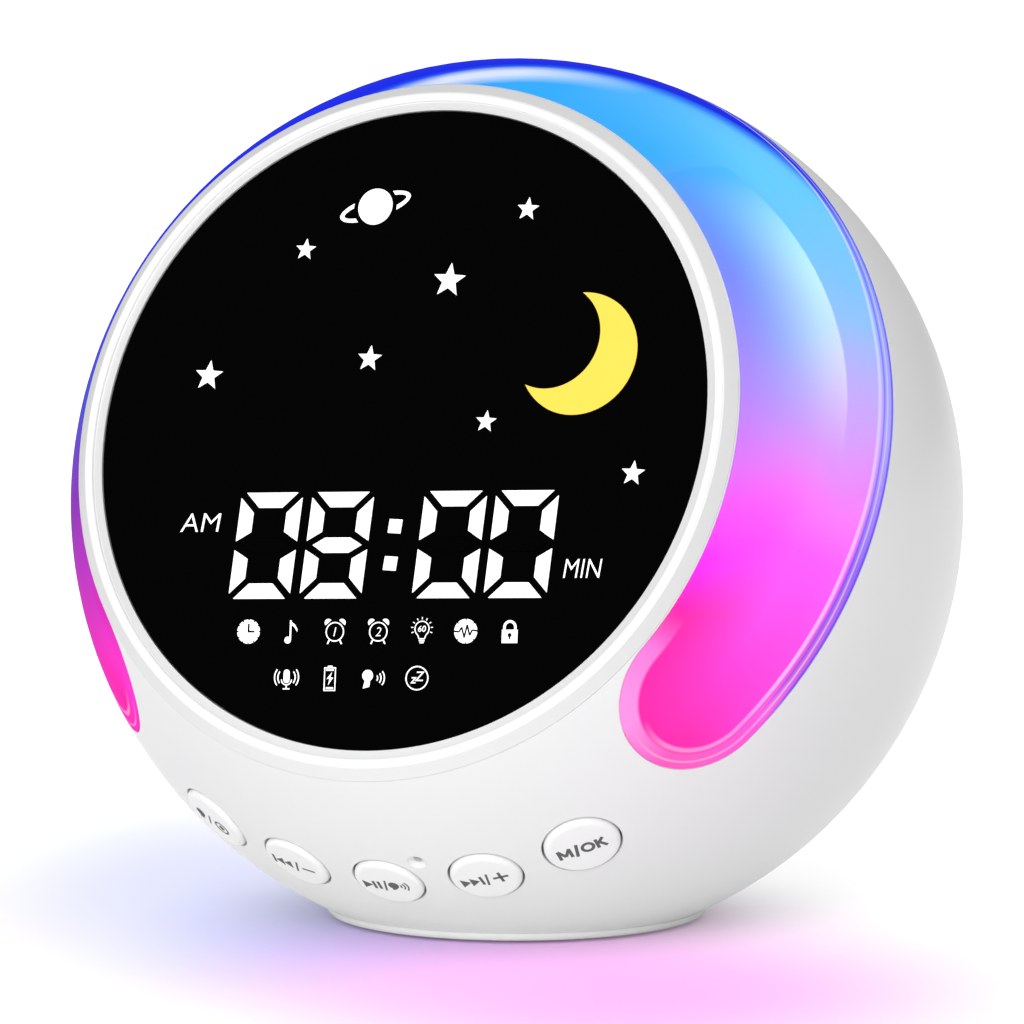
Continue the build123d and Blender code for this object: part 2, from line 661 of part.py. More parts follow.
def light_ledge():
    """The rim inside the window that the light's cover rests on."""
    return crescent(LIGHT_LEDGE_BOTTOM, LIGHT_LEDGE_TOP, LIGHT_LEDGE_OVERLAP, 0)


def rear_boss(angle):
    """A post for a rear screw, tied to the wall by a rib."""
    x, y = on_circle(REAR_SCREW_CIRCLE, angle)
    near = SEAM_BACK - REAR_BOSS_LENGTH
    rib_length = BODY_RADIUS - REAR_SCREW_CIRCLE
    rib = BACK * Rot(0, 0, angle) * Pos(REAR_SCREW_CIRCLE + rib_length / 2, 0,
                                        near + REAR_BOSS_LENGTH / 2)
    rib *= Box(rib_length, REAR_RIB_THICKNESS, REAR_BOSS_LENGTH)
    post = rod(BACK, BOSS_RADIUS, near, SEAM_BACK, x, y) + rib
    return post & ball(INSIDE_RADIUS + BODY_WALL / 2)


def bracket_planes():
    return [radial(BUTTON_POLAR, side * BRACKET_SCREW_CLOCK) for side in (1, -1)]


def button_radius(i):
    return END_BUTTON_RADIUS if i in (0, len(BUTTON_NAMES) - 1) else BUTTON_RADIUS


def button_plane(i):
    return radial(BUTTON_POLAR, (i - (len(BUTTON_NAMES) - 1) / 2) * BUTTON_PITCH)


def mic_hole():
    """The dimple and the sound hole in front of the microphone."""
    plane = radial(MIC_POLAR, MIC_CLOCK)
    curve = (MIC_DIMPLE_RADIUS ** 2 + MIC_DIMPLE_DEPTH ** 2) / (2 * MIC_DIMPLE_DEPTH)
    dimple = plane * Pos(0, 0, BODY_RADIUS - MIC_DIMPLE_DEPTH + curve) * Sphere(curve)
    return dimple + rod(plane, MIC_HOLE_RADIUS, INSIDE_RADIUS - 1, BODY_RADIUS + 1)


def front_shell():
    """The moulded ball, cut for the display, the light, the buttons, the base and the rear."""
    shell = ball(BODY_RADIUS) - (ball(INSIDE_RADIUS) & beyond(UP, FLOOR_TOP))
    shell -= beyond(DOWN, -BASE_TOP)
    shell -= beyond(BACK, SEAM_BACK)
    shell += [rear_boss(angle) for angle in turned(REAR_SCREW_COUNT, 45)]
    shell += [rod(plane, BRACKET_BOSS_RADIUS, BRACKET_OUTSIDE, INSIDE_RADIUS + BODY_WALL / 2)
              for plane in bracket_planes()]
    shell -= rod(UP, BASE_SPIGOT_RADIUS + SLIP, BASE_TOP - 1, FLOOR_BOTTOM)
    for angle in turned(BASE_SCREW_COUNT, 90):
        x, y = on_circle(BASE_SCREW_CIRCLE, angle)
        shell += rod(UP, BOSS_RADIUS, FLOOR_BOTTOM, FLOOR_TOP + BASE_BOSS_HEIGHT, x, y)
    shell -= beyond(DISPLAY, COLLAR_TOP)
    shell -= crescent(LIGHT_LEDGE_TOP, BODY_RADIUS + 1, 0, 0)
    shell += light_ledge()
    shell -= crescent(LIGHT_LEDGE_BOTTOM - 1, BODY_RADIUS + 1, -LIGHT_LEDGE_WIDTH, 0)
    shell += collar()
    for x, y in board_screw_places():
        shell += rod(DISPLAY, PILLAR_RADIUS, MAIN_BOARD_TOP, SEAT_BOTTOM + SEAT_THICKNESS / 2, x, y)
    return shell - group(front_shell_holes())


def front_shell_holes():
    holes = [mic_hole()]
    for i in range(len(BUTTON_NAMES)):
        holes.append(rod(button_plane(i), button_radius(i) + RUN, TAB_TOP, CAP_TOP + 1))
    for x, y in display_screw_places():
        holes.append(rod(DISPLAY, SCREW_HOLE_RADIUS, SEAT_BOTTOM - 1, DISPLAY_BOARD_BOTTOM + 1, x, y))
    for x, y in board_screw_places():
        holes.append(pilot(DISPLAY_BEHIND, -MAIN_BOARD_BOTTOM, BOARD_SCREW_LENGTH, -x, y))
    for angle in turned(REAR_SCREW_COUNT, 45):
        x, y = on_circle(REAR_SCREW_CIRCLE, angle)
        holes.append(pilot(BACK, REAR_HEAD_SEAT, REAR_SCREW_LENGTH, x, y))
    for angle in turned(BASE_SCREW_COUNT, 90):
        x, y = on_circle(BASE_SCREW_CIRCLE, angle)
        holes.append(pilot(DOWN, -BASE_HEAD_SEAT, BASE_SCREW_LENGTH, x, -y))
    for x, y in cradle_screw_places():
        holes.append(pilot(UP, FLOOR_TOP + CRADLE_FOOT[2], CRADLE_SCREW_LENGTH, x, y, small=True))
    for plane in bracket_planes():
        behind = Plane(origin=CENTRE, x_dir=plane.x_dir, z_dir=-plane.z_dir)
        holes.append(pilot(behind, -BRACKET_INSIDE, BRACKET_SCREW_LENGTH))
    return holes


def rear_cover():
    """The cap behind the seam. It holds the speaker and the power inlet."""
    inner_wall = ball(INSIDE_RADIUS + BODY_WALL / 2)
    lip_outside = leg(INSIDE_RADIUS, SEAM_BACK) - SLIP
    lip_inside = lip_outside - LIP_WALL
    outer_middle = leg(BODY_RADIUS, SEAM_RADIUS / 2)
    inner_middle = leg(INSIDE_RADIUS, SEAM_RADIUS / 2)
    profile = ThreePointArc((0, BODY_RADIUS), (SEAM_RADIUS / 2, outer_middle),
                            (SEAM_RADIUS, SEAM_BACK))
    profile += Polyline((SEAM_RADIUS, SEAM_BACK), (lip_outside, SEAM_BACK),
                        (lip_outside, SEAM_BACK - LIP_LENGTH), (lip_inside, SEAM_BACK - LIP_LENGTH),
                        (lip_inside, leg(INSIDE_RADIUS, lip_inside)))
    profile += ThreePointArc((lip_inside, leg(INSIDE_RADIUS, lip_inside)),
                             (SEAM_RADIUS / 2, inner_middle), (0, INSIDE_RADIUS))
    profile += Line((0, INSIDE_RADIUS), (0, BODY_RADIUS))
    cap = BACK * revolve(Plane.XZ * make_face(profile), Axis.Z)
    for angle in turned(REAR_SCREW_COUNT, 45):
        x, y = on_circle(REAR_SCREW_CIRCLE, angle)
        cap -= rod(BACK, BOSS_RADIUS + LIP_NOTCH_GAP, SEAM_BACK - LIP_LENGTH - 1, SEAM_BACK, x, y)
    for angle in turned(REAR_SCREW_COUNT, 45):
        x, y = on_circle(REAR_SCREW_CIRCLE, angle)
        cap += rod(BACK, BOSS_RADIUS, SEAM_BACK, BODY_RADIUS, x, y) & inner_wall
    cap += ring(BACK, SPEAKER_TUBE_BORE, SPEAKER_RADIUS, SPEAKER_SEAT_DEPTH, BODY_RADIUS) & inner_wall
    for x, y in speaker_screw_places():
        cap += rod(BACK, SPEAKER_EAR_RADIUS, SPEAKER_SEAT_DEPTH, BODY_RADIUS, x, y) & inner_wall
    cap += inlet_pocket()
    cap -= beyond(DOWN, -BASE_TOP)
    cap -= rod(UP, BASE_SPIGOT_RADIUS + SLIP, BASE_TOP - 1, FLOOR_BOTTOM)
    return cap - group(rear_cover_holes())


def inlet_pocket():
    """The sunk cup round the power inlet, with the shelf that carries its board."""
    outside = INLET_POCKET_RADIUS + INLET_POCKET_WALL
    cup = rod(BACK, outside, INLET_POCKET_FLOOR - INLET_FLOOR_WALL, BODY_RADIUS, 0, -INLET_DROP)
    cup &= ball(INSIDE_RADIUS + BODY_WALL / 2)
    shelf_length = INLET_POCKET_FLOOR - SHELF_FRONT
    size = (INLET_BOARD[0], INLET_SHELF_THICKNESS, shelf_length)
    shelf = block(BACK, size, SHELF_FRONT, 0, INLET_BOARD_BOTTOM - INLET_SHELF_THICKNESS / 2)
    return cup + shelf


def inlet_slot(width, height, near, far):
    """A rod with the power inlet's flat oval section."""
    flat = block(BACK, (width - height, height, far - near), near, 0, -INLET_DROP)
    for side in (1, -1):
        flat += rod(BACK, height / 2, near, far, side * (width - height) / 2, -INLET_DROP)
    return flat


def rear_cover_holes():
    holes = []
    for ring_number in range(GRILLE_RINGS + 1):
        for angle in turned(max(1, 6 * ring_number)):
            x, y = on_circle(GRILLE_PITCH * ring_number, angle)
            holes.append(rod(BACK, GRILLE_HOLE_RADIUS, SPEAKER_SEAT_DEPTH, BODY_RADIUS + 1, x, y))
    for angle in turned(REAR_SCREW_COUNT, 45):
        x, y = on_circle(REAR_SCREW_CIRCLE, angle)
        holes.append(rod(BACK, REAR_RECESS_RADIUS, REAR_HEAD_SEAT, BODY_RADIUS, x, y))
        holes.append(rod(BACK, SCREW_HOLE_RADIUS, SEAM_BACK - 1, REAR_HEAD_SEAT + 1, x, y))
    for x, y in speaker_screw_places():
        holes.append(pilot(TO_BACK, -FLANGE_FRONT, SPEAKER_SCREW_LENGTH, -x, y, small=True))
    holes.append(rod(BACK, INLET_POCKET_RADIUS, INLET_POCKET_FLOOR, BODY_RADIUS, 0, -INLET_DROP))
    holes.append(inlet_slot(SOCKET_WIDTH + 2 * SLIP, SOCKET_HEIGHT + 2 * SLIP,
                            SOCKET_MOUTH - SOCKET_LENGTH, INLET_POCKET_FLOOR + 1))
    for x, y in inlet_screw_places():
        holes.append(pilot(UP, CENTRE_HEIGHT + INLET_BOARD_TOP, INLET_SCREW_LENGTH, x, y, small=True))
    return holes


# ------------------------------------------------------------------ display pieces


def display_bezel():
    """The trim ring: a flat inner band, a raised round crest and a sloping outer band."""
    foot = COLLAR_TOP + SEAT_GAP
    crest_low = (BEZEL_INNER_TOP + BEZEL_CREST_TOP) / 2
    crest_middle = (BEZEL_CREST_INSIDE + BEZEL_CREST_OUTSIDE) / 2
    spigot = LEDGE_TOP * COLLAR_INSIDE_SLOPE - SLIP
    profile = Polyline((BEZEL_CREST_INSIDE, crest_low), (BEZEL_CREST_INSIDE, BEZEL_INNER_TOP),
                       (BEZEL_BORE, BEZEL_INNER_TOP), (BEZEL_BORE, LEDGE_TOP + SEAT_GAP),
                       (spigot, LEDGE_TOP + SEAT_GAP), (spigot, foot),
                       (DISPLAY_CUT_RADIUS, foot), (BEZEL_CREST_OUTSIDE, crest_low))
    profile += ThreePointArc((BEZEL_CREST_OUTSIDE, crest_low), (crest_middle, BEZEL_CREST_TOP),
                             (BEZEL_CREST_INSIDE, crest_low))
    return DISPLAY * revolve(Plane.XZ * make_face(profile), Axis.Z)


def display_lens():
    """The black front disc, with a window for each figure's light guide."""
    lens = rod(DISPLAY, LENS_RADIUS, LENS_BOTTOM, LENS_TOP)
    return lens - group(prisms(all_faces(), LENS_BOTTOM - 1, LENS_TOP + 1))


def lit_segments():
    return group(guides(segment_faces(True)))


def unlit_segments():
    return group(guides(segment_faces(False)))


def moon_guide():
    return group(guides([moon_face()]))


def sky_guides():
    return group(guides(star_faces()) + guides(planet_faces(SEAT_GAP), 0))


def display_reflector():
    """The white block behind the lens, with a light well behind each figure and symbol."""
    body = rod(DISPLAY, REFLECTOR_RADIUS, REFLECTOR_BOTTOM, LENS_BOTTOM)
    body -= group(prisms(all_faces(), REFLECTOR_BOTTOM - 1, LENS_BOTTOM + 1))
    wells = [rod(DISPLAY, ICON_WELL_RADIUS, REFLECTOR_BOTTOM - 1, LENS_BOTTOM + 1, x, y)
             for x, y in icon_places()]
    wells += [pilot(DISPLAY_BEHIND, -SEAT_BOTTOM, DISPLAY_SCREW_LENGTH, -x, y)
              for x, y in display_screw_places()]
    return body - group(wells)


def display_board():
    """The round board under the reflector, which carries one lamp for each well."""
    board = rod(DISPLAY, DISPLAY_BOARD_RADIUS, DISPLAY_BOARD_BOTTOM, REFLECTOR_BOTTOM)
    return board - group([rod(DISPLAY, SCREW_HOLE_RADIUS, DISPLAY_BOARD_BOTTOM - 1,
                              REFLECTOR_BOTTOM + 1, x, y) for x, y in display_screw_places()])


def display_chips():
    """A small lamp in the middle of each well."""
    places = [(face.center().X, face.center().Y)
              for face in segment_faces(True) + segment_faces(False) + star_faces()]
    places += icon_places()
    size = (DISPLAY_CHIP_SIZE, DISPLAY_CHIP_SIZE, DISPLAY_CHIP_HEIGHT)
    return group([block(DISPLAY, size, REFLECTOR_BOTTOM, x, y) for x, y in places])


def display_screws():
    return group([screw(DISPLAY_BEHIND, -SEAT_BOTTOM, DISPLAY_SCREW_LENGTH, -x, y)
                  for x, y in display_screw_places()])


# ------------------------------------------------------------------ night light


def light_cover():
    """The thick clear outer cover, flush with the ball."""
    return crescent(COVER_INSIDE, BODY_RADIUS, -SLIP)


def light_diffuser():
    """The milky sheet behind the cover, inside the window's rim."""
    return crescent(LIGHT_LEDGE_BOTTOM, DIFFUSER_OUTSIDE, -LIGHT_LEDGE_WIDTH - SLIP)


def light_tray():
    """The white trough that closes the light from behind."""
    hollow = crescent(STRIP_INSIDE, TRAY_OUTSIDE + 1, -SLIP - TRAY_WALL)
    return crescent(TRAY_INSIDE, TRAY_OUTSIDE, -SLIP) - hollow


def light_strip():
    """The flexible board on the trough's floor."""
    axis = radial(0, 0, LIGHT_AXIS_LIFT / 2)
    half = math.degrees(STRIP_WIDTH / 2 / STRIP_INSIDE)
    band = belt(axis, STRIP_INSIDE, STRIP_OUTSIDE, LIGHT_MIDDLE_ANGLE - half,
                LIGHT_MIDDLE_ANGLE + half)
    return band - below_clock(STRIP_END_CLOCK, LIGHT_AXIS_LIFT / 2)


def light_chips():
    """The colour-changing lamps along the strip."""
    step = (360 - 2 * LIGHT_CHIP_END_CLOCK) / (LIGHT_CHIP_COUNT - 1)
    chips = []
    for i in range(LIGHT_CHIP_COUNT):
        clock = LIGHT_CHIP_END_CLOCK + i * step
        plane = radial(LIGHT_MIDDLE_ANGLE, clock, LIGHT_AXIS_LIFT / 2)
        chips.append(block(plane, LIGHT_CHIP, STRIP_OUTSIDE))
    return group(chips)


# ------------------------------------------------------------------ buttons


def button(i):
    """A round key with a domed top, two side tabs that keep it in, and a stem."""
    plane, radius = button_plane(i), button_radius(i)
    cap = rod(plane, radius, CAP_BOTTOM, CAP_TOP + 1) & ball(CAP_TOP)
    cap = fillet(top_edge(cap, plane), BUTTON_ROUND)
    tabs = block(plane, (2 * BUTTON_TAB_LENGTH, BUTTON_TAB_WIDTH, BUTTON_TAB_THICKNESS),
                 TAB_TOP - BUTTON_TAB_THICKNESS)
    return cap + tabs + rod(plane, BUTTON_STEM_RADIUS, STEM_BOTTOM, CAP_BOTTOM + 1)


def plunger(i):
    """The moving pin of a switch, which the button's stem rests on."""
    return rod(button_plane(i), PLUNGER_RADIUS, PLUNGER_BOTTOM, STEM_BOTTOM)


def switch_housings():
    """The square bodies of the switches, each with a well for its plunger."""
    housings = []
    for i in range(len(BUTTON_NAMES)):
        plane = button_plane(i)
        body = block(plane, (SWITCH_SIZE, SWITCH_SIZE, SWITCH_HEIGHT), SWITCH_BOTTOM)
        housings.append(body - rod(plane, PLUNGER_RADIUS + RUN, SWITCH_TOP - SWITCH_WELL_DEPTH,
                                   SWITCH_TOP + 1))
    return group(housings)


def switch_boards():
    """A small square board under each switch."""
    size = (SWITCH_BOARD_SIZE, SWITCH_BOARD_SIZE, SWITCH_BOARD_THICKNESS)
    return group([block(button_plane(i), size, SWITCH_BOARD_BOTTOM)
                  for i in range(len(BUTTON_NAMES))])


def button_bracket():
    """The curved carrier behind the buttons, with a pocket for each switch board."""
    body = layer(BRACKET_INSIDE, BRACKET_OUTSIDE)
    body &= cone(DISPLAY, BUTTON_POLAR + BRACKET_HALF_ANGLE)
    body -= cone(DISPLAY, BUTTON_POLAR - BRACKET_HALF_ANGLE)
    body &= below_clock(BRACKET_END_CLOCK)
    pocket = SWITCH_BOARD_SIZE + 2 * SLIP
    for i in range(len(BUTTON_NAMES)):
        body -= block(button_plane(i), (pocket, pocket, SWITCH_HEIGHT), SWITCH_BOARD_BOTTOM)
    for plane in bracket_planes():
        body -= rod(plane, BRACKET_BOSS_RADIUS, BRACKET_INSIDE - 1, BRACKET_OUTSIDE + 1)
        body += ring(plane, SCREW_HOLE_RADIUS, BRACKET_BOSS_RADIUS + SEAT_GAP, BRACKET_INSIDE,
                     BRACKET_OUTSIDE - SEAT_GAP)
    return body


def bracket_screws():
    screws = []
    for plane in bracket_planes():
        behind = Plane(origin=CENTRE, x_dir=plane.x_dir, z_dir=-plane.z_dir)
        screws.append(screw(behind, -BRACKET_INSIDE, BRACKET_SCREW_LENGTH))
    return group(screws)


# ------------------------------------------------------------------ microphone


def microphone_boot():
    """The rubber sleeve that seals the microphone against the wall."""
    plane = radial(MIC_POLAR, MIC_CLOCK)
    boot = rod(plane, MIC_BOOT_RADIUS, MIC_BOOT_INNER_END, BODY_RADIUS) & ball(INSIDE_RADIUS - SEAT_GAP)
    boot -= rod(plane, MIC_RADIUS + SEAT_GAP, MIC_BOOT_INNER_END - 1, MIC_BOOT_INNER_END + MIC_LENGTH)
    return boot - rod(plane, MIC_HOLE_RADIUS, MIC_BOOT_INNER_END, BODY_RADIUS)


def microphone():
    return rod(radial(MIC_POLAR, MIC_CLOCK), MIC_RADIUS, MIC_BOOT_INNER_END,
               MIC_BOOT_INNER_END + MIC_LENGTH)


# ------------------------------------------------------------------ main board


def main_board():
    """The round board behind the display, on four pillars of the shell."""
    board = rod(DISPLAY, MAIN_BOARD_RADIUS, MAIN_BOARD_BOTTOM, MAIN_BOARD_TOP)
    return board - group([rod(DISPLAY, SCREW_HOLE_RADIUS, MAIN_BOARD_BOTTOM - 1,
                              MAIN_BOARD_TOP + 1, x, y) for x, y in board_screw_places()])


def board_screws():
    return group([screw(DISPLAY_BEHIND, -MAIN_BOARD_BOTTOM, BOARD_SCREW_LENGTH, -x, y)
                  for x, y in board_screw_places()])


def board_header():
    """The pin header between the main board and the display board."""
    return block(DISPLAY, (*HEADER_SIZE, DISPLAY_BOARD_BOTTOM - MAIN_BOARD_TOP), MAIN_BOARD_TOP,
                 *HEADER_PLACE)


def main_chips():
    """Processor, memory, amplifier and charger, on the back of the main board."""
    return group([block(DISPLAY_BEHIND, (length, width, height), -MAIN_BOARD_BOTTOM, x, y)
                  for x, y, length, width, height in CHIPS])


def main_capacitors():
    """Round cans that smooth the supply."""
    return group([rod(DISPLAY_BEHIND, CAPACITOR_RADIUS, -MAIN_BOARD_BOTTOM,
                      -MAIN_BOARD_BOTTOM + CAPACITOR_HEIGHT, x, y) for x, y in CAPACITORS])


def main_sockets():
    """White sockets for the leads of the battery, speaker, light and inlet."""
    return group([block(DISPLAY_BEHIND, LEAD_SOCKET, -MAIN_BOARD_BOTTOM, x, y)
                  for x, y in LEAD_SOCKETS])


# ------------------------------------------------------------------ battery


def battery_cell():
    """A rechargeable round cell, lying across the body."""
    across = Plane(origin=CELL_CENTRE, x_dir=(0, 1, 0), z_dir=(1, 0, 0))
    half = CELL_LENGTH / 2
    cell = rod(across, CELL_RADIUS, -half, half - CELL_BUTTON[1])
    return cell + rod(across, CELL_BUTTON[0], 0, half)


def cradle_screw_places():
    """Feet of the cradle, left and right."""
    across = CRADLE_LEG_SPREAD / 2 - CRADLE_LEG_THICKNESS / 2 - CRADLE_FOOT[0] / 2
    return [(side * across, CELL_SETBACK) for side in (1, -1)]


def battery_cradle():
    """The trough under the cell, on two legs that stand on the body's floor."""
    length = CELL_LENGTH + 2 * SLIP + 2 * CRADLE_WALL
    width = 2 * (CELL_RADIUS + SLIP + CRADLE_WALL)
    top = CELL_CENTRE.Z
    trough = Pos(0, CELL_SETBACK, (CRADLE_BOTTOM + top) / 2) * Box(length, width, top - CRADLE_BOTTOM)
    across = Plane(origin=CELL_CENTRE, x_dir=(0, 1, 0), z_dir=(1, 0, 0))
    half = CELL_LENGTH / 2 + SLIP
    trough -= rod(across, CELL_RADIUS + SLIP, -half, half)
    trough &= ball(INSIDE_RADIUS - RUN)
    for side, (x, y) in zip((1, -1), cradle_screw_places()):
        leg_size = (CRADLE_LEG_THICKNESS, CRADLE_LEG_WIDTH, CRADLE_BOTTOM - FLOOR_TOP + CRADLE_WALL / 2)
        trough += block(UP, leg_size, FLOOR_TOP, side * CRADLE_LEG_SPREAD / 2, y)
        trough += block(UP, CRADLE_FOOT, FLOOR_TOP, x, y)
        trough -= rod(UP, SMALL_HOLE_RADIUS, FLOOR_TOP - 1, FLOOR_TOP + CRADLE_FOOT[2] + 1, x, y)
    return trough


def cradle_screws():
    return group([screw(UP, FLOOR_TOP + CRADLE_FOOT[2], CRADLE_SCREW_LENGTH, x, y, small=True)
                  for x, y in cradle_screw_places()])


# ------------------------------------------------------------------ speaker


def speaker_screw_places():
    return [on_circle(SPEAKER_SCREW_CIRCLE, angle) for angle in turned(4, 45)]


def speaker_frame():
    """The pressed steel basket, with a flange and four ears."""
    flange = rod(BACK, SPEAKER_RADIUS, FLANGE_FRONT, GASKET_FRONT)
    for x, y in speaker_screw_places():
        flange += rod(BACK, SPEAKER_EAR_RADIUS, FLANGE_FRONT, GASKET_FRONT, x, y)
    neck = MAGNET_RADIUS + BASKET_WALL
    height = FLANGE_FRONT - MAGNET_BACK
    place = BACK * Pos(0, 0, MAGNET_BACK + height / 2)
    basket = place * Cone(neck, SPEAKER_TUBE_BORE + BASKET_WALL, height)
    basket -= BACK * Pos(0, 0, MAGNET_BACK + BASKET_WALL + height / 2) * Cone(
        neck - BASKET_WALL, SPEAKER_TUBE_BORE, height)
    flange -= rod(BACK, SPEAKER_TUBE_BORE, FLANGE_FRONT - 1, GASKET_FRONT + 1)
    holes = [rod(BACK, SMALL_HOLE_RADIUS, FLANGE_FRONT - 1, GASKET_FRONT + 1, x, y)
             for x, y in speaker_screw_places()]
    return flange + basket - group(holes)


def speaker_magnet():
    """The round magnet behind the basket, with its rim rounded."""
    magnet = rod(BACK, MAGNET_RADIUS, MAGNET_BACK - MAGNET_LENGTH, MAGNET_BACK)
    return chamfer(magnet.edges().filter_by(GeomType.CIRCLE), MAGNET_BEVEL)


def speaker_cone():
    """The paper cone and its dust cap, held at the rim by the frame's flange."""
    rim = GASKET_FRONT
    neck = rim - CONE_DEPTH
    outside = BACK * Pos(0, 0, (rim + neck) / 2) * Cone(CONE_NECK_RADIUS, CONE_RADIUS, CONE_DEPTH)
    hollow = BACK * Pos(0, 0, (rim + neck) / 2 + CONE_SKIN) * Cone(
        CONE_NECK_RADIUS, CONE_RADIUS, CONE_DEPTH)
    rim_ring = ring(BACK, CONE_RADIUS - CONE_SKIN, SPEAKER_TUBE_BORE - SEAT_GAP, rim - CONE_SKIN, rim)
    cap_height = neck + CONE_DEPTH * (DUST_CAP_RADIUS - CONE_NECK_RADIUS) / (CONE_RADIUS - CONE_NECK_RADIUS)
    cap = rod(BACK, DUST_CAP_RADIUS, cap_height, cap_height + CONE_SKIN * 2)
    return outside - hollow + rim_ring + cap


def speaker_gasket():
    return ring(BACK, SPEAKER_TUBE_BORE, SPEAKER_RADIUS, GASKET_FRONT, SPEAKER_SEAT_DEPTH)


def speaker_screws():
    return group([screw(TO_BACK, -FLANGE_FRONT, SPEAKER_SCREW_LENGTH, -x, y, small=True)
                  for x, y in speaker_screw_places()])


# ------------------------------------------------------------------ power inlet


def inlet_screw_places():
    """In plan, on the inlet's board."""
    back = SOCKET_BOARD_EDGE - INLET_SCREW_BACK
    return [(side * INLET_SCREW_SPREAD / 2, back) for side in (1, -1)]


def inlet_board():
    """The small board that the socket is soldered to."""
    board = block(BACK, (INLET_BOARD[0], INLET_BOARD[2], INLET_BOARD[1]),
                  SOCKET_BOARD_EDGE - INLET_BOARD[1], 0, (INLET_BOARD_TOP + INLET_BOARD_BOTTOM) / 2)
    low, high = CENTRE_HEIGHT + INLET_BOARD_BOTTOM - 1, CENTRE_HEIGHT + INLET_BOARD_TOP + 1
    return board - group([rod(UP, SMALL_HOLE_RADIUS, low, high, x, y)
                          for x, y in inlet_screw_places()])


def inlet_screws():
    return group([screw(UP, CENTRE_HEIGHT + INLET_BOARD_TOP, INLET_SCREW_LENGTH, x, y, small=True)
                  for x, y in inlet_screw_places()])


def inlet_socket():
    """The steel mouth of the power inlet, closed behind, with its contact tongue."""
    near = SOCKET_MOUTH - SOCKET_LENGTH
    mouth = inlet_slot(SOCKET_WIDTH, SOCKET_HEIGHT, near, SOCKET_MOUTH)
    mouth -= inlet_slot(SOCKET_WIDTH - 2 * SOCKET_SHEET, SOCKET_HEIGHT - 2 * SOCKET_SHEET,
                        near + SOCKET_SHEET, SOCKET_MOUTH + 1)
    size = (SOCKET_TONGUE[0], SOCKET_TONGUE[1], SOCKET_TONGUE[2] + SOCKET_SHEET)
    return mouth + block(BACK, size, near, 0, -INLET_DROP)


# ------------------------------------------------------------------ base and fasteners


def base_plate():
    """The round plate that the ball stands on, sunk underneath for the foot."""
    plate = rod(UP, BASE_RADIUS, BASE_BOTTOM, BASE_TOP)
    plate = fillet(plate.edges().filter_by(GeomType.CIRCLE).sort_by(Axis.Z)[0], BASE_ROUND)
    plate += rod(UP, BASE_SPIGOT_RADIUS, BASE_BOTTOM + BASE_ROUND, BASE_TOP + BASE_SPIGOT_HEIGHT)
    plate -= rod(UP, FOOT_RADIUS + SLIP, BASE_BOTTOM - 1, FOOT_TOP)
    for angle in turned(BASE_SCREW_COUNT, 90):
        x, y = on_circle(BASE_SCREW_CIRCLE, angle)
        plate -= rod(UP, SCREW_HEAD_RADIUS + SLIP, BASE_BOTTOM - 1, BASE_HEAD_SEAT, x, y)
        plate -= rod(UP, SCREW_HOLE_RADIUS, BASE_BOTTOM - 1, FLOOR_TOP, x, y)
    return plate


def foot_pad():
    """The rubber disc that grips the table and hides the screws."""
    return fillet(top_edge(rod(UP, FOOT_RADIUS, 0, FOOT_THICKNESS), DOWN), FOOT_ROUND)


def base_screws():
    return group([screw(DOWN, -BASE_HEAD_SEAT, BASE_SCREW_LENGTH, x, -y)
                  for x, y in [on_circle(BASE_SCREW_CIRCLE, a) for a in turned(BASE_SCREW_COUNT, 90)]])


def rear_screws():
    return group([screw(BACK, REAR_HEAD_SEAT, REAR_SCREW_LENGTH, x, y)
                  for x, y in [on_circle(REAR_SCREW_CIRCLE, a) for a in turned(REAR_SCREW_COUNT, 45)]])


# ------------------------------------------------------------------ all pieces


def pieces():
    """Every node's name with the function that makes it."""
    made = {maker.__name__: maker for maker in (
        front_shell, rear_cover, base_plate, foot_pad, base_screws, rear_screws,
        display_bezel, display_lens, lit_segments, unlit_segments, moon_guide, sky_guides,
        display_reflector, display_board, display_chips, display_screws,
        light_cover, light_diffuser, light_tray, light_strip, light_chips,
        button_bracket, bracket_screws, switch_housings, switch_boards,
        microphone_boot, microphone, main_board, board_screws, board_header, main_chips,
        main_capacitors, main_sockets, battery_cell, battery_cradle, cradle_screws,
        speaker_frame, speaker_magnet, speaker_cone, speaker_gasket, speaker_screws,
        inlet_socket, inlet_board, inlet_screws)}
    for i, name in enumerate(BUTTON_NAMES):
        made["button_" + name] = lambda i=i: button(i)
        made["plunger_" + name] = lambda i=i: plunger(i)
    return made


os.makedirs("parts", exist_ok=True)
for node, maker in pieces().items():
    export_step(maker(), f"parts/{node}.step")
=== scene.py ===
import math

import bpy
from mathutils import Matrix, Vector


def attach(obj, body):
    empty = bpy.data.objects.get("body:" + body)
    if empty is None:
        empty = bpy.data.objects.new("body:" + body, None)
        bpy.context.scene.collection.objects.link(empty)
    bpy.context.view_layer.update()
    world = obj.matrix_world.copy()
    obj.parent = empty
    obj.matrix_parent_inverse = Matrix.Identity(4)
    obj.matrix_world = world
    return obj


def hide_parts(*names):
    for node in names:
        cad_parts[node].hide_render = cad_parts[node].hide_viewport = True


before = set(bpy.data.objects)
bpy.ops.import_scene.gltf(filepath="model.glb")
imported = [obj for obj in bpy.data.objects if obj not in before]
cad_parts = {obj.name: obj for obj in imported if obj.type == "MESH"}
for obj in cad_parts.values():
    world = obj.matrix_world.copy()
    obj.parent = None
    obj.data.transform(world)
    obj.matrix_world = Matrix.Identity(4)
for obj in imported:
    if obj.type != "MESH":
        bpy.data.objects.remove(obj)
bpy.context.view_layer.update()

# ------------------------------------------------------------------ front shell
# The white front half of the ball, moulded in gloss plastic with a collar for the display, a
# seat for the night light and five button holes. Its skin is a true ball, so it is shaded as one.

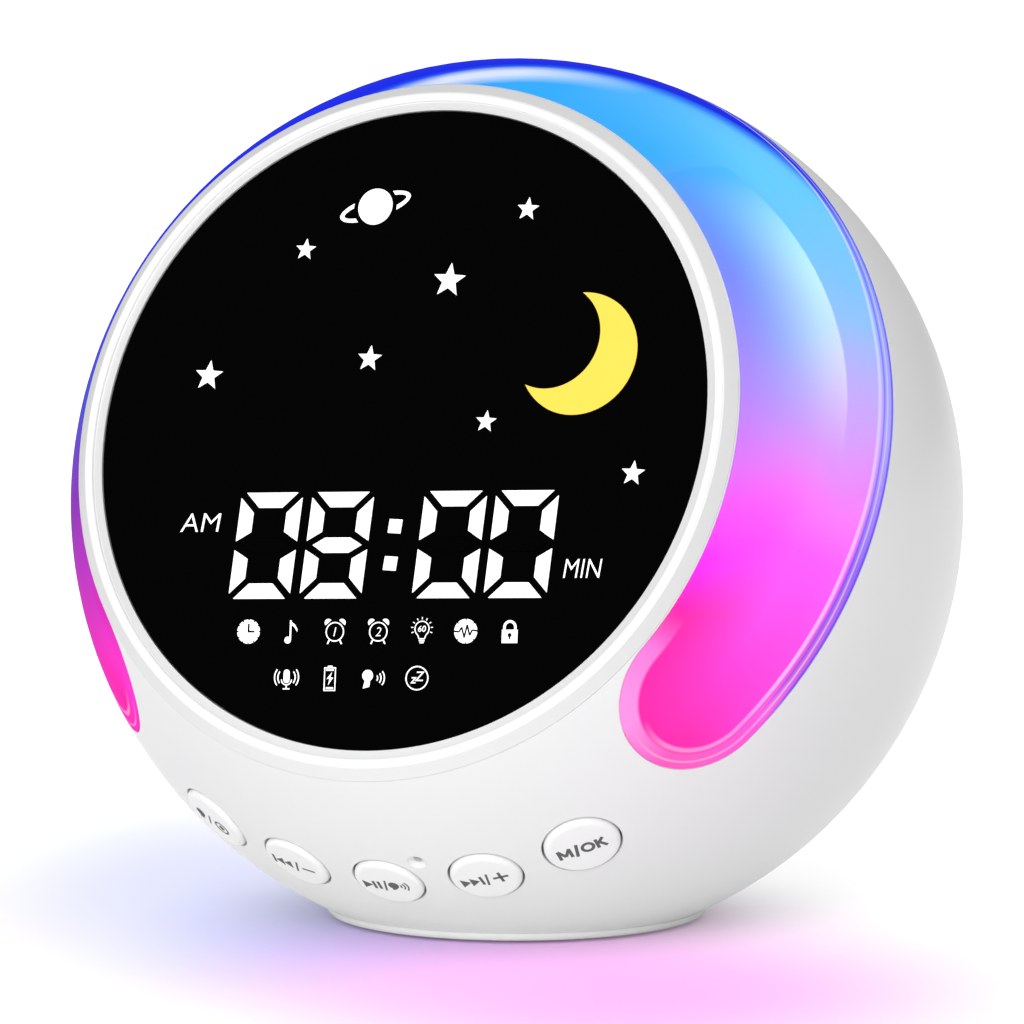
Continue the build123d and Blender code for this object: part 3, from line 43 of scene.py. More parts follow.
mm = 0.001
ball_centre = Vector((0, 0, 57.553)) * mm
ball_radius = 62.0
shell_wall = 2.4
shell_skins = (ball_radius, ball_radius - shell_wall)
weld_distance = 0.002 * mm
skin_tolerance = 0.006 * mm
facing_share = 0.98
smooth_below = math.radians(32)
cloud_scale, grain_scale = 55.0, 1900.0
grain_depth = 0.02 * mm
gloss_change = 0.04
noise_span = (0.3, 0.7)


def new_material(name):
    material = bpy.data.materials.new(name)
    material.use_nodes = True
    return material


def wire(material, kind, values=None, **settings):
    """A new node in a material. A value may be the output of another node."""
    node = material.node_tree.nodes.new(kind)
    for name, value in settings.items():
        setattr(node, name, value)
    for socket, value in (values or {}).items():
        if isinstance(value, bpy.types.NodeSocket):
            material.node_tree.links.new(value, node.inputs[socket])
        else:
            node.inputs[socket].default_value = value
    return node


def feed(material, socket, value):
    """A value, or the output of another node, for a socket of the material's shader."""
    target = material.node_tree.nodes["Principled BSDF"].inputs[socket]
    if isinstance(value, bpy.types.NodeSocket):
        material.node_tree.links.new(value, target)
    else:
        target.default_value = value


def own_place(material):
    """Where a point lies on its own piece."""
    return wire(material, "ShaderNodeTexCoord").outputs["Object"]


def noise(material, place, scale, detail):
    made = wire(material, "ShaderNodeTexNoise", {"Vector": place, "Scale": scale, "Detail": detail})
    return made.outputs[0]


def blend_colours(material, share, first, second):
    mixed = wire(material, "ShaderNodeMix", {0: share, 6: first, 7: second}, data_type="RGBA")
    return mixed.outputs[2]


def spread(material, value, low, high, from_low=0.0, from_high=1.0):
    """A value stretched from one range to another."""
    ranged = wire(material, "ShaderNodeMapRange", {0: value, 1: from_low, 2: from_high, 3: low, 4: high})
    return ranged.outputs[0]


def shade(colour, share):
    return (colour[0] * share, colour[1] * share, colour[2] * share, 1)


def moulded_plastic(name, colour, roughness, cloud=0.006, grain=0.3, edge=0.25):
    """Moulded plastic: faintly clouded, a little uneven in gloss, finely grained, with the
    small round that a mould leaves on every edge."""
    material = new_material(name)
    place = own_place(material)
    cloudy = noise(material, place, cloud_scale, 3.0)
    fine = noise(material, place, grain_scale, 2.0)
    tint = blend_colours(material, cloudy, shade(colour, 1 - cloud), shade(colour, 1 + cloud))
    dull, shiny = roughness * (1 - gloss_change), roughness * (1 + gloss_change)
    rounded = wire(material, "ShaderNodeBevel", {"Radius": edge * mm}, samples=4)
    grained = wire(material, "ShaderNodeBump", {"Height": fine, "Strength": grain, "Distance": grain_depth,
                                                "Normal": rounded.outputs[0]})
    feed(material, "Base Color", tint)
    feed(material, "Roughness", spread(material, cloudy, dull, shiny, *noise_span))
    feed(material, "Normal", grained.outputs[0])
    return material


def finish_piece(piece, name, material, body="housing", replaced=()):
    piece.name = name
    piece.data.name = name
    piece.data.materials.clear()
    piece.data.materials.append(material)
    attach(piece, body)
    if replaced:
        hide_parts(*replaced)


def welded_copy(node, skins=()):
    """A copy of a solid with its faces joined and smooth. Faces on the balls of these radii get
    the shading of a true ball."""
    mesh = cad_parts[node].data.copy()
    piece = bpy.data.objects.new(node + "_smooth", mesh)
    bpy.context.scene.collection.objects.link(piece)
    bpy.ops.object.select_all(action="DESELECT")
    piece.select_set(True)
    bpy.context.view_layer.objects.active = piece
    bpy.ops.mesh.customdata_custom_splitnormals_clear()
    bpy.ops.object.mode_set(mode="EDIT")
    bpy.ops.mesh.select_all(action="SELECT")
    bpy.ops.mesh.remove_doubles(threshold=weld_distance)
    bpy.ops.object.mode_set(mode="OBJECT")
    bpy.ops.object.shade_smooth_by_angle(angle=smooth_below)
    normals = [Vector(corner.vector) for corner in mesh.corner_normals]
    for face in mesh.polygons:
        places = [mesh.vertices[i].co - ball_centre for i in face.vertices]
        for skin in skins:
            if all(abs(place.length - skin * mm) < skin_tolerance for place in places):
                for corner, place in zip(face.loop_indices, places):
                    outwards = place.normalized()
                    along = face.normal.dot(outwards)
                    if abs(along) > facing_share:
                        normals[corner] = outwards if along > 0 else -outwards
    mesh.normals_split_custom_set(normals)
    return piece


shell_plastic = moulded_plastic("white_shell_plastic", (0.85, 0.85, 0.855, 1), 0.3)
finish_piece(welded_copy("front_shell", shell_skins), "front_shell_moulding", shell_plastic,
             replaced=["front_shell"])

# ------------------------------------------------------------------ rear cover
# The white rear half, moulded in the same plastic, with the speaker grille, four screw recesses
# and the pocket of the power inlet. A lip centres it in the front shell.

cover_plastic = moulded_plastic("white_cover_plastic", (0.84, 0.84, 0.845, 1), 0.32)
finish_piece(welded_copy("rear_cover", shell_skins), "rear_cover_moulding", cover_plastic,
             replaced=["rear_cover"])

# ------------------------------------------------------------------ base plate and foot
# A round plate of white plastic closes the foot of the ball. A grey rubber pad is glued into
# it over the screws, so that the clock doesn't slide.

base_plastic = moulded_plastic("white_base_plastic", (0.78, 0.78, 0.785, 1), 0.34)
finish_piece(welded_copy("base_plate"), "base_plate_moulding", base_plastic,
             replaced=["base_plate"])
foot_rubber = moulded_plastic("grey_foot_rubber", (0.30, 0.30, 0.31, 1), 0.8, cloud=0.08, grain=0.9)
finish_piece(welded_copy("foot_pad"), "foot_pad_rubber", foot_rubber,
             replaced=["foot_pad"])

# ------------------------------------------------------------------ screws
# Cross-head self-tapping screws, zinc plated, in two sizes. They hold the base, the rear cover,
# the boards, the button bracket, the cradle, the speaker and the inlet board.

mark_scale = (900.0, 120.0, 900.0)
mark_strength = 0.15
streak = 0.15


def bare_metal(name, colour, roughness):
    """Metal with a slightly uneven sheen and fine marks from handling."""
    material = new_material(name)
    stretched = wire(material, "ShaderNodeMapping", {"Vector": own_place(material), "Scale": mark_scale})
    marks = noise(material, stretched.outputs[0], 1.0, 4.0)
    tint = blend_colours(material, marks, shade(colour, 1 - streak), shade(colour, 1 + streak / 2))
    raised = wire(material, "ShaderNodeBump", {"Height": marks, "Strength": mark_strength,
                                               "Distance": grain_depth})
    feed(material, "Metallic", 1.0)
    feed(material, "Base Color", tint)
    feed(material, "Roughness", spread(material, marks, roughness * 0.7, roughness * 1.3))
    feed(material, "Normal", raised.outputs[0])
    return material


def dress(node, material):
    """A solid whose shape is right keeps it and gets this finish."""
    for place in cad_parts[node].material_slots:
        place.material = material


zinc = bare_metal("zinc_plate", (0.62, 0.63, 0.66, 1), 0.3)
for node in ("base_screws", "rear_screws", "display_screws", "board_screws", "bracket_screws"):
    dress(node, zinc)
small_zinc = bare_metal("small_screw_zinc", (0.60, 0.61, 0.63, 1), 0.34)
for node in ("cradle_screws", "speaker_screws", "inlet_screws"):
    dress(node, small_zinc)

# ------------------------------------------------------------------ display bezel
# The trim ring round the lens, a separate gloss moulding: a flat inner band, a raised round
# crest and an outer band that slopes down to the light. It is pushed into the collar. A white
# highlight is painted along its crest, and the ring is painted paler towards its foot.

display_tilt = math.radians(21.4)
display_axis = Vector((0, -math.cos(display_tilt), math.sin(display_tilt)))
display_up = Vector((0, math.sin(display_tilt), math.cos(display_tilt)))
display_place = Matrix.Translation(ball_centre) @ Matrix((
    (1, display_up.x, display_axis.x, 0), (0, display_up.y, display_axis.y, 0),
    (0, display_up.z, display_axis.z, 0), (0, 0, 0, 1)))
crest_radius, crest_half_width = 46.825, 0.575
crest_foot, crest_rise, crest_steps = 39.307, 0.35, 8
bezel_profile = [(45.05, 38.957), (46.05, 38.957), (46.25, 39.05)]
for step in range(crest_steps + 1):
    turn = math.pi * (1 - step / crest_steps)
    bezel_profile.append((crest_radius + crest_half_width * math.cos(turn),
                          crest_foot + crest_rise * math.sin(turn)))
bezel_profile += [(47.6, 39.14), (48.2, 38.66), (48.75, 38.2), (48.98, 38.0), (49.08, 37.93),
                  (49.05, 37.907), (46.5, 37.907), (46.5, 37.157), (45.05, 37.157)]
turn_steps = 256
point_distance = 0.001 * mm
turned_smooth_below = math.radians(28)
# painted highlight: a white stripe painted along the round crest, fading out between these distances from it
painted_highlight_radius, painted_highlight_fade = 46.85, (0.62, 0.74)
painted_highlight_white = (0.97, 0.97, 0.97, 1)
# painted light: the ring is painted paler low down, fully below 15 mm above the floor and not at all above 50
# mm
painted_paler_low_white, painted_paler_low_fade = (0.84, 0.84, 0.845, 1), (15 * mm, 50 * mm)


def turned(profile):
    """A closed outline of (radius, height) points spun round the z axis."""
    bpy.ops.object.select_all(action="DESELECT")
    bpy.ops.mesh.primitive_circle_add(vertices=len(profile), radius=1, location=(0, 0, 0))
    piece = bpy.context.object
    for point, (across, height) in zip(piece.data.vertices, profile):
        point.co = Vector((across, 0, height)) * mm
    bpy.ops.object.mode_set(mode="EDIT")
    bpy.ops.mesh.select_all(action="SELECT")
    bpy.ops.mesh.spin(steps=turn_steps, angle=2 * math.pi, center=(0, 0, 0), axis=(0, 0, 1))
    bpy.ops.mesh.select_all(action="SELECT")
    bpy.ops.mesh.remove_doubles(threshold=point_distance)
    bpy.ops.mesh.normals_make_consistent(inside=False)
    bpy.ops.object.mode_set(mode="OBJECT")
    bpy.ops.object.shade_smooth_by_angle(angle=turned_smooth_below)
    return piece


def number_math(material, operation, first, second=0.0):
    return wire(material, "ShaderNodeMath", {0: first, 1: second}, operation=operation).outputs[0]


def vector_math(material, operation, first, second=(0, 0, 0)):
    """A step of vector arithmetic. It gives a number for a length or a dot product."""
    node = wire(material, "ShaderNodeVectorMath", {0: first, 1: second}, operation=operation)
    return node.outputs["Value" if operation in ("LENGTH", "DOT_PRODUCT") else "Vector"]


bezel = turned(bezel_profile)
bezel.data.transform(display_place)
bezel_plastic = moulded_plastic("pale_bezel_plastic", (0.70, 0.70, 0.705, 1), 0.26, edge=0.1)
plain = bezel_plastic.node_tree.nodes["Principled BSDF"].inputs["Base Color"].links[0].from_socket
place = own_place(bezel_plastic)
from_centre = vector_math(bezel_plastic, "SUBTRACT", place, ball_centre)
sideways = vector_math(bezel_plastic, "CROSS_PRODUCT", from_centre, display_axis / mm)
off_crest = number_math(bezel_plastic, "SUBTRACT", vector_math(bezel_plastic, "LENGTH", sideways),
                        painted_highlight_radius)
off_crest = number_math(bezel_plastic, "ABSOLUTE", off_crest)
# the painted highlight along the crest
painted_highlight_on_crest = spread(bezel_plastic, off_crest, 1, 0, *painted_highlight_fade)
height = wire(bezel_plastic, "ShaderNodeSeparateXYZ", {0: place}).outputs[2]
# the painted paler light on the lower part of the ring
painted_paler_low_share = spread(bezel_plastic, height, 1, 0, *painted_paler_low_fade)
bands = blend_colours(bezel_plastic, painted_paler_low_share, plain, painted_paler_low_white)
feed(bezel_plastic, "Base Color", blend_colours(bezel_plastic, painted_highlight_on_crest, bands, painted_highlight_white))
finish_piece(bezel, "display_trim_ring", bezel_plastic, replaced=["display_bezel"])

# ------------------------------------------------------------------ display lens and its lights
# A disc of black gloss plastic with a window for each figure. Clear light guides fill the
# windows: white for the digits and the sky, yellow for the moon, dark where nothing is lit.

black_gloss, black_sheen = (0.0008, 0.0008, 0.0009, 1), 0.015
guide_white, guide_yellow = (0.7, 0.7, 0.7, 1), (0.25, 0.18, 0.02, 1)
light_white, light_yellow = (1.0, 1.0, 1.0, 1), (1.0, 0.70, 0.07, 1)
white_strength, yellow_strength = 0.9, 0.92
mottle_scale = 300.0


def lit_plastic(name, colour, light, strength):
    """A light guide seen end on: even light with a faint mottle from the chip behind it."""
    material = moulded_plastic(name, colour, 0.35, edge=0.04)
    mottle = noise(material, own_place(material), mottle_scale, 1.0)
    feed(material, "Emission Color", blend_colours(material, mottle, shade(light, 0.97), light))
    feed(material, "Emission Strength", strength)
    return material


lens_plastic = moulded_plastic("black_lens_plastic", black_gloss, 0.1, grain=0.02, edge=0.05)
dark_guide = moulded_plastic("dark_guide_plastic", black_gloss, 0.1, grain=0.02, edge=0.02)
for node, black in (("display_lens", lens_plastic), ("unlit_segments", dark_guide)):
    feed(black, "Specular IOR Level", black_sheen)
    dress(node, black)
dress("lit_segments", lit_plastic("lit_white_guide", guide_white, light_white, white_strength))
dress("sky_guides", lit_plastic("lit_sky_guide", guide_white, light_white, white_strength))
dress("moon_guide", lit_plastic("lit_yellow_guide", guide_yellow, light_yellow, yellow_strength))

# ------------------------------------------------------------------ display print
# The words beside the digits and two rows of small signs, printed through the lens's back
# and lit from behind. Each sign is drawn flat about its own centre and then laid on the lens.

lens_top, print_rise, overprint_rise = 38.757, 0.035, 0.02
print_depth = 0.03
row_slope = math.tan(math.radians(3.4))
row_centre = 1.7
sign_radius, sign_step, sign_slant = 1.7, 6.48, -0.14
upper_start, upper_height = -17.7, -28.4
lower_start, lower_height = -10.8, -34.9
letter_weight, letter_slant, figure_slant = -0.012, 0.02, 0.2


def patch(points):
    """A flat patch with this outline."""
    bpy.ops.object.select_all(action="DESELECT")
    bpy.ops.mesh.primitive_circle_add(vertices=len(points), radius=1, fill_type="NGON", location=(0, 0, 0))
    piece = bpy.context.object
    for point, (x, y) in zip(piece.data.vertices, points):
        point.co = (x * mm, y * mm, 0)
    return piece


def bar(x0, y0, x1, y1, width):
    """A straight stroke between two points."""
    length = math.hypot(x1 - x0, y1 - y0)
    side_x, side_y = -(y1 - y0) / length * width / 2, (x1 - x0) / length * width / 2
    return patch([(x0 - side_x, y0 - side_y), (x1 - side_x, y1 - side_y),
                  (x1 + side_x, y1 + side_y), (x0 + side_x, y0 + side_y)])


def around(x, y, radius, start=0.0, stop=360.0, steps=24):
    return [(x + radius * math.cos(math.radians(start + (stop - start) * i / steps)),
             y + radius * math.sin(math.radians(start + (stop - start) * i / steps)))
            for i in range(steps + 1)]


def disc(x, y, radius, steps=24):
    return patch(around(x, y, radius, steps=steps)[:-1])


def bow(x, y, radius, start, stop, width, steps=12):
    """A curved stroke: part of a ring about a centre."""
    return patch(around(x, y, radius + width / 2, start, stop, steps)
                 + around(x, y, radius - width / 2, stop, start, steps))


def hoop(x, y, radius, width):
    return [bow(x, y, radius, 0, 180, width), bow(x, y, radius, 180, 360, width)]


def words(text, x, y, height, width=None, slant=0.0, weight=0.0):
    """Plain letters, centred on a point, as high and as wide as asked."""
    bpy.ops.object.select_all(action="DESELECT")
    bpy.ops.object.text_add(location=(0, 0, 0))
    piece = bpy.context.object
    piece.data.body = text
    piece.data.size = 1.0
    piece.data.shear = slant
    piece.data.offset = weight
    piece.data.resolution_u = 6
    bpy.ops.object.convert(target="MESH")
    piece = bpy.context.object
    xs = [v.co.x for v in piece.data.vertices]
    ys = [v.co.y for v in piece.data.vertices]
    tall = height / (max(ys) - min(ys))
    wide = width / (max(xs) - min(xs)) if width else tall
    middle_x, middle_y = (max(xs) + min(xs)) / 2, (max(ys) + min(ys)) / 2
    for v in piece.data.vertices:
        v.co = ((x + (v.co.x - middle_x) * wide) * mm, (y + (v.co.y - middle_y) * tall) * mm, 0)
    return piece


def joined(pieces):
    """Flat pieces made one, then given the thickness of ink."""
    bpy.ops.object.select_all(action="DESELECT")
    for piece in pieces:
        piece.select_set(True)
    bpy.context.view_layer.objects.active = pieces[0]
    bpy.ops.object.join()
    bpy.ops.object.mode_set(mode="EDIT")
    bpy.ops.mesh.select_all(action="SELECT")
    bpy.ops.mesh.remove_doubles(threshold=point_distance)
    bpy.ops.mesh.extrude_region_move(TRANSFORM_OT_translate={"value": (0, 0, -print_depth * mm)})
    bpy.ops.mesh.select_all(action="SELECT")
    bpy.ops.mesh.normals_make_consistent(inside=False)
    bpy.ops.object.mode_set(mode="OBJECT")
    return bpy.context.object


def moved(pieces, x, y):
    """Flat pieces leaned and shifted across the plane they are drawn on."""
    for piece in pieces:
        for v in piece.data.vertices:
            v.co = (v.co.x + v.co.y * sign_slant + x * mm, v.co.y + y * mm, 0)
    return pieces


def notched_disc(notches, notch_radius, steps):
    """A solid disc with small notches all round its edge."""
    points, share = [], 360 / notches
    for notch in range(notches):
        start = share * notch
        points += around(0, 0, sign_radius, start + 4, start + share - 4, steps)
        turn = math.radians(start + share)
        points.append((notch_radius * math.cos(turn), notch_radius * math.sin(turn)))
    return [patch(points)]


def clock_hands():
    return [bar(0, 1.1, 0, -0.14, 0.28), bar(-0.14, 0, 0.9, 0, 0.28)]


def note_sign():
    """A single note: its head, stem and flag."""
    flag = [(-0.29, 1.6), (-0.29, 1.05), (0.35, 0.65), (0.85, -0.05), (0.85, 0.35), (0.45, 1.0),
            (-0.05, 1.35)]
    return [disc(-0.55, -1.2, 0.48), bar(-0.17, -1.2, -0.17, 1.55, 0.24), patch(flag)]


def alarm_sign(figure):
    """A round clock on two legs with two bells and a figure on its face."""
    return hoop(0, -0.05, 1.3, 0.16) + [
        words(figure, 0, -0.05, 1.25, slant=figure_slant, weight=letter_weight),
        bar(-0.75, -1.15, -1.05, -1.75, 0.2), bar(0.75, -1.15, 1.05, -1.75, 0.2),
        patch(around(-1.02, 1.22, 0.55, 40, 220, 8)), patch(around(1.02, 1.22, 0.55, -40, 140, 8))]


def bulb_sign():
    """A bulb with a figure for its minutes and short rays."""
    pieces = [bow(0, 0.35, 1.05, -52, 232, 0.14, 20), bar(-0.62, -0.5, -0.42, -1.0, 0.14),
              bar(0.62, -0.5, 0.42, -1.0, 0.14), bar(-0.45, -1.05, 0.45, -1.05, 0.16),
              bar(-0.42, -1.32, 0.42, -1.32, 0.16), bar(-0.3, -1.58, 0.3, -1.58, 0.16),
              words("60", 0, 0.35, 0.85, slant=0.15)]
    ray_count, ray_start, ray_stop = 9, 1.32, 1.62
    for ray in range(ray_count):
        angle = math.radians(-20 + 220 * ray / (ray_count - 1))
        x, y = math.cos(angle), math.sin(angle)
        pieces.append(bar(ray_start * x, 0.35 + ray_start * y, ray_stop * x, 0.35 + ray_stop * y, 0.12))
    return pieces


def zigzag():
    """The wave across the disc of the sound alarm."""
    points = [(-1.7, 0), (-1.0, -0.1), (-0.6, 0.55), (-0.2, -0.9), (0.2, 0.9), (0.6, -0.6), (0.95, 0.15),
              (1.7, 0.05)]
    return [bar(*first, *second, 0.24) for first, second in zip(points, points[1:])]


def lock_sign():
    """A padlock: a solid body and a bow. Its keyhole is laid over it in black."""
    body = [(-1.15, -1.65), (1.15, -1.65), (1.15, 0.2), (-1.15, 0.2)]
    return [patch(body), bow(0, 0.55, 0.8, 0, 180, 0.36),
            bar(-0.8, 0.1, -0.8, 0.56, 0.36), bar(0.8, 0.1, 0.8, 0.56, 0.36)]


def keyhole():
    return [disc(0, -0.55, 0.3, 12), bar(0, -0.55, 0, -1.15, 0.24)]


def microphone_sign():
    """A microphone on its stand between two pairs of waves."""
    pieces = [patch(around(0, 0.75, 0.45, 0, 180, 8) + around(0, -0.25, 0.45, 180, 360, 8)),
              bow(0, -0.2, 0.75, 180, 360, 0.16), bar(0, -0.9, 0, -1.45, 0.16),
              bar(-0.5, -1.5, 0.5, -1.5, 0.16)]
    for side in (0, 180):
        for radius in (1.3, 1.8):
            pieces.append(bow(0, 0.1, radius, side - 38, side + 38, 0.17))
    return pieces


def battery_sign():
    """A battery outline with its charge and a bolt."""
    bolt = [(0.3, 0.85), (-0.45, -0.12), (-0.02, -0.12), (-0.25, -1.0), (0.5, 0.08), (0.08, 0.08)]
    return [bar(-0.8, -1.75, -0.8, 1.45, 0.15), bar(0.8, -1.75, 0.8, 1.45, 0.15),
            bar(-0.87, -1.72, 0.87, -1.72, 0.15), bar(-0.87, 1.42, 0.87, 1.42, 0.15),
            bar(-0.35, 1.6, 0.35, 1.6, 0.25), bar(-0.55, -1.4, 0.55, -1.4, 0.26),
            bar(-0.55, 1.12, 0.55, 1.12, 0.22), patch(bolt)]


def speech_sign():
    """A speaking balloon between waves: a solid drop with a tail."""
    pieces = [patch(around(-0.85, 0.35, 0.8, -60, 240, 16) + [(-1.5, -1.45), (-0.55, -1.2)])]
    for radius in (0.55, 1.05, 1.55):
        pieces.append(bow(0.1, 0.0, radius, -38, 38, 0.17))
    return pieces


def sleep_sign():
    return hoop(0, 0, 1.62, 0.17) + [words("z", -0.5, -0.3, 0.85, slant=figure_slant),
                                     words("Z", 0.4, 0.25, 1.3, slant=figure_slant)]


def laid_on_display(pieces, raise_by=0.0):
    """Flat pieces given thickness, climbing with the rows, under the lens's face."""
    piece = joined(pieces)
    for v in piece.data.vertices:
        v.co.y += row_slope * (v.co.x - row_centre * mm)
    top = lens_top + print_rise + raise_by
    piece.data.transform(display_place @ Matrix.Translation((0, 0, top * mm)))
    return piece


signs, overprint = [], []
upper_row = [notched_disc(12, 1.38, 3), note_sign(), alarm_sign("1"), alarm_sign("2"), bulb_sign(),
             notched_disc(8, 1.4, 5), lock_sign()]
lower_row = [microphone_sign(), battery_sign(), speech_sign(), sleep_sign()]
for row, start, height in ((upper_row, upper_start, upper_height), (lower_row, lower_start, lower_height)):
    for i, sign in enumerate(row):
        signs += moved(sign, start + sign_step * i, height)
for i, dark in ((0, clock_hands()), (5, zigzag()), (6, keyhole())):
    overprint += moved(dark, upper_start + sign_step * i, upper_height)
signs.append(words("AM", -27.8, -13.0, 2.6, 5.8, slant=letter_slant, weight=letter_weight))
signs.append(words("MIN", 30.35, -19.75, 2.6, 5.3, slant=letter_slant, weight=letter_weight))
sign_light = lit_plastic("lit_sign_print", guide_white, light_white, white_strength)
finish_piece(laid_on_display(signs), "display_signs", sign_light)
finish_piece(laid_on_display(overprint, overprint_rise), "display_signs_overprint", lens_plastic)

# ------------------------------------------------------------------ night light
# A thick clear crescent, polished outside, lies over a milky diffuser. Chips in a tray behind
# it glow deep blue at the left top, pale blue at the right, then violet and hot pink below.

light_inner = math.radians(52.55)
light_outer = math.radians(78.0)
light_lift = math.radians(6.3)
lifted_axis = Vector((0, -math.cos(display_tilt + light_lift), math.sin(display_tilt + light_lift)))
end_clock = math.radians(180 - 55.2)
end_polar = math.atan2(math.cos(light_lift) - math.cos(light_inner + light_outer),
                       math.sin(light_inner + light_outer) - math.sin(light_lift) * math.cos(end_clock))
end_radius = end_polar - light_inner
end_place = (display_axis * math.cos(end_polar) + display_up * math.sin(end_polar) * math.cos(end_clock)
             + Vector((1, 0, 0)) * math.sin(end_polar) * math.sin(end_clock))

# the colours, as red, green and blue on a screen
deep_blue, ink_blue, royal_blue, cobalt = (24, 32, 230), (16, 36, 222), (30, 60, 210), (40, 66, 236)
ultramarine, slate_blue, steel_blue = (70, 62, 235), (66, 66, 198), (50, 70, 175)
azure, sky_blue, powder_blue, cornflower = (50, 164, 252), (84, 194, 254), (140, 186, 254), (105, 130, 246)
# frost is the colour of the painted highlight lines on the cover
periwinkle, pale_periwinkle, painted_highlight_frost = (118, 134, 254), (148, 158, 250), (216, 214, 255)
indigo, violet, amethyst = (105, 35, 170), (130, 42, 175), (150, 98, 226)
lavender, pale_violet, lilac, orchid = (165, 132, 253), (172, 158, 244), (212, 146, 252), (215, 108, 252)
mauve, magenta, dark_magenta = (205, 90, 205), (226, 34, 180), (200, 30, 170)
fuchsia, hot_pink, rose, pale_rose = (246, 45, 240), (253, 86, 243), (253, 58, 204), (254, 146, 218)
# silver is the colour of the painted reflection on the cover
red_pink, painted_reflection_silver = (254, 24, 150), (222, 228, 248)

# the colours round the crescent, by the angle from its top in degrees
clock_reach = 140
glow_colours = ((-136, red_pink), (-121, magenta), (-106, violet), (-86, slate_blue), (-35, deep_blue),
                (-12, deep_blue), (8, azure), (45, sky_blue), (68, powder_blue), (86, lilac),
                (106, hot_pink), (124, rose), (140, red_pink))
inner_colours = ((-128, rose), (-106, violet), (-88, slate_blue), (-30, deep_blue), (8, azure),
                 (38, azure), (55, periwinkle), (76, lavender), (92, orchid), (105, fuchsia),
                 (116, red_pink))
rim_colours = ((-138, rose), (-120, dark_magenta), (-102, indigo), (-80, steel_blue), (-50, royal_blue),
               (-20, deep_blue), (25, cobalt), (50, cornflower), (66, pale_periwinkle),
               (82, pale_violet), (100, amethyst), (116, mauve), (132, pale_rose))
cloud_size, cloud_drift = 32.0, 7
inner_share = (0.05, 0.5)
milky_share, milk_white = 0.7, (0.5, 0.5, 0.55, 1)
milky_strength = 0.8


def from_screen(colour):
    """A screen colour of 0 to 255 as light, by the screens' standard curve."""
    light = [c / 255 / 12.92 if c < 11 else ((c / 255 + 0.055) / 1.055) ** 2.4 for c in colour]
    return (*light, 1)


def by_clock(material, clock, colours):
    """A colour that changes along the crescent."""
    share = spread(material, clock, 0, 1, -clock_reach, clock_reach)
    ramp = wire(material, "ShaderNodeValToRGB", {0: share})
    stops = ramp.color_ramp.elements
    while len(stops) < len(colours):
        stops.new(0.5)
    for stop, (angle, colour) in zip(stops, colours):
        stop.position = (angle + clock_reach) / (2 * clock_reach)
        stop.color = from_screen(colour)
    return ramp.outputs[0]


def angle_from(material, direction, axis):
    """The angle between a direction and a fixed axis."""
    return number_math(material, "ARCCOSINE", vector_math(material, "DOT_PRODUCT", direction, axis))


def crescent_places(material):
    """The angle round the crescent from its top, the share of the way across it, and the
    distance from its nearest edge in millimetres."""
    from_centre = vector_math(material, "SUBTRACT", own_place(material), ball_centre)
    direction = vector_math(material, "NORMALIZE", from_centre)
    mirrored = vector_math(material, "MULTIPLY", direction, (-1, 1, 1))
    sideways = wire(material, "ShaderNodeSeparateXYZ", {0: direction}).outputs[0]
    upwards = vector_math(material, "DOT_PRODUCT", direction, display_up)
    turn = number_math(material, "ARCTAN2", sideways, upwards)
    clock = number_math(material, "MULTIPLY", turn, 180 / math.pi)
    inside = number_math(material, "SUBTRACT", angle_from(material, direction, display_axis), light_inner)
    outside = number_math(material, "SUBTRACT", light_outer, angle_from(material, direction, lifted_axis))
    across = number_math(material, "DIVIDE", inside, number_math(material, "ADD", inside, outside))
    nearest_end = number_math(material, "MINIMUM", angle_from(material, direction, end_place),
                              angle_from(material, mirrored, end_place))
    end = number_math(material, "SUBTRACT", end_radius, nearest_end)
    past_end = number_math(material, "GREATER_THAN", number_math(material, "ABSOLUTE", turn), end_clock)
    side = number_math(material, "MINIMUM", inside, outside)
    edge = wire(material, "ShaderNodeMix", {0: past_end, 2: side, 3: end}, data_type="FLOAT").outputs[0]
    return clock, across, number_math(material, "MULTIPLY", edge, ball_radius)


def night_light(name, roughness):
    """A material lit by the chips, with its places on the crescent and its glow."""
    material = new_material(name)
    clock, across, edge = crescent_places(material)
    cloud = noise(material, own_place(material), cloud_size, 1.0)
    drift = spread(material, cloud, -cloud_drift, cloud_drift, *noise_span)
    drifted = number_math(material, "ADD", clock, drift)
    outer_glow = by_clock(material, drifted, glow_colours)
    inner_glow = by_clock(material, drifted, inner_colours)
    glow = blend_colours(material, spread(material, across, 1, 0, *inner_share), outer_glow, inner_glow)
    feed(material, "Roughness", roughness)
    feed(material, "Specular IOR Level", 0.12)
    return material, clock, across, edge, glow


# the diffuser, under the cover
diffuser_glow, clock, across, edge, glow = night_light("lit_diffuser_glow", 0.5)
feed(diffuser_glow, "Emission Color", glow)
feed(diffuser_glow, "Base Color", blend_colours(diffuser_glow, milky_share, glow, milk_white))
feed(diffuser_glow, "Emission Strength", milky_strength)
finish_piece(welded_copy("light_diffuser", (57.65, 59.45)), "light_diffuser_shell", diffuser_glow,
             replaced=["light_diffuser"])

# the cover: clearer at its rim, lit through everywhere else, with fine bright lines at its edge, which are
# painted highlights.
# Distances from the edge are in millimetres, clock angles in degrees, and shares go from the
# inner edge to the outer one.
rim_fade = (2.3, 2.9)
outer_fade, tip_fade, tip_across = (0.35, 0.6), (117, 124), (0.3, 0.7)
waver_scale, waver = 26.0, 0.35
clear_strength, see_through = 0.72, 0.04
behind_clock, behind_across = (-40, 60), (-0.41, 1.24)
deep_fade, deep_start, deep_stop = (-0.14, 0.06), (-80, -50), (45, 62)
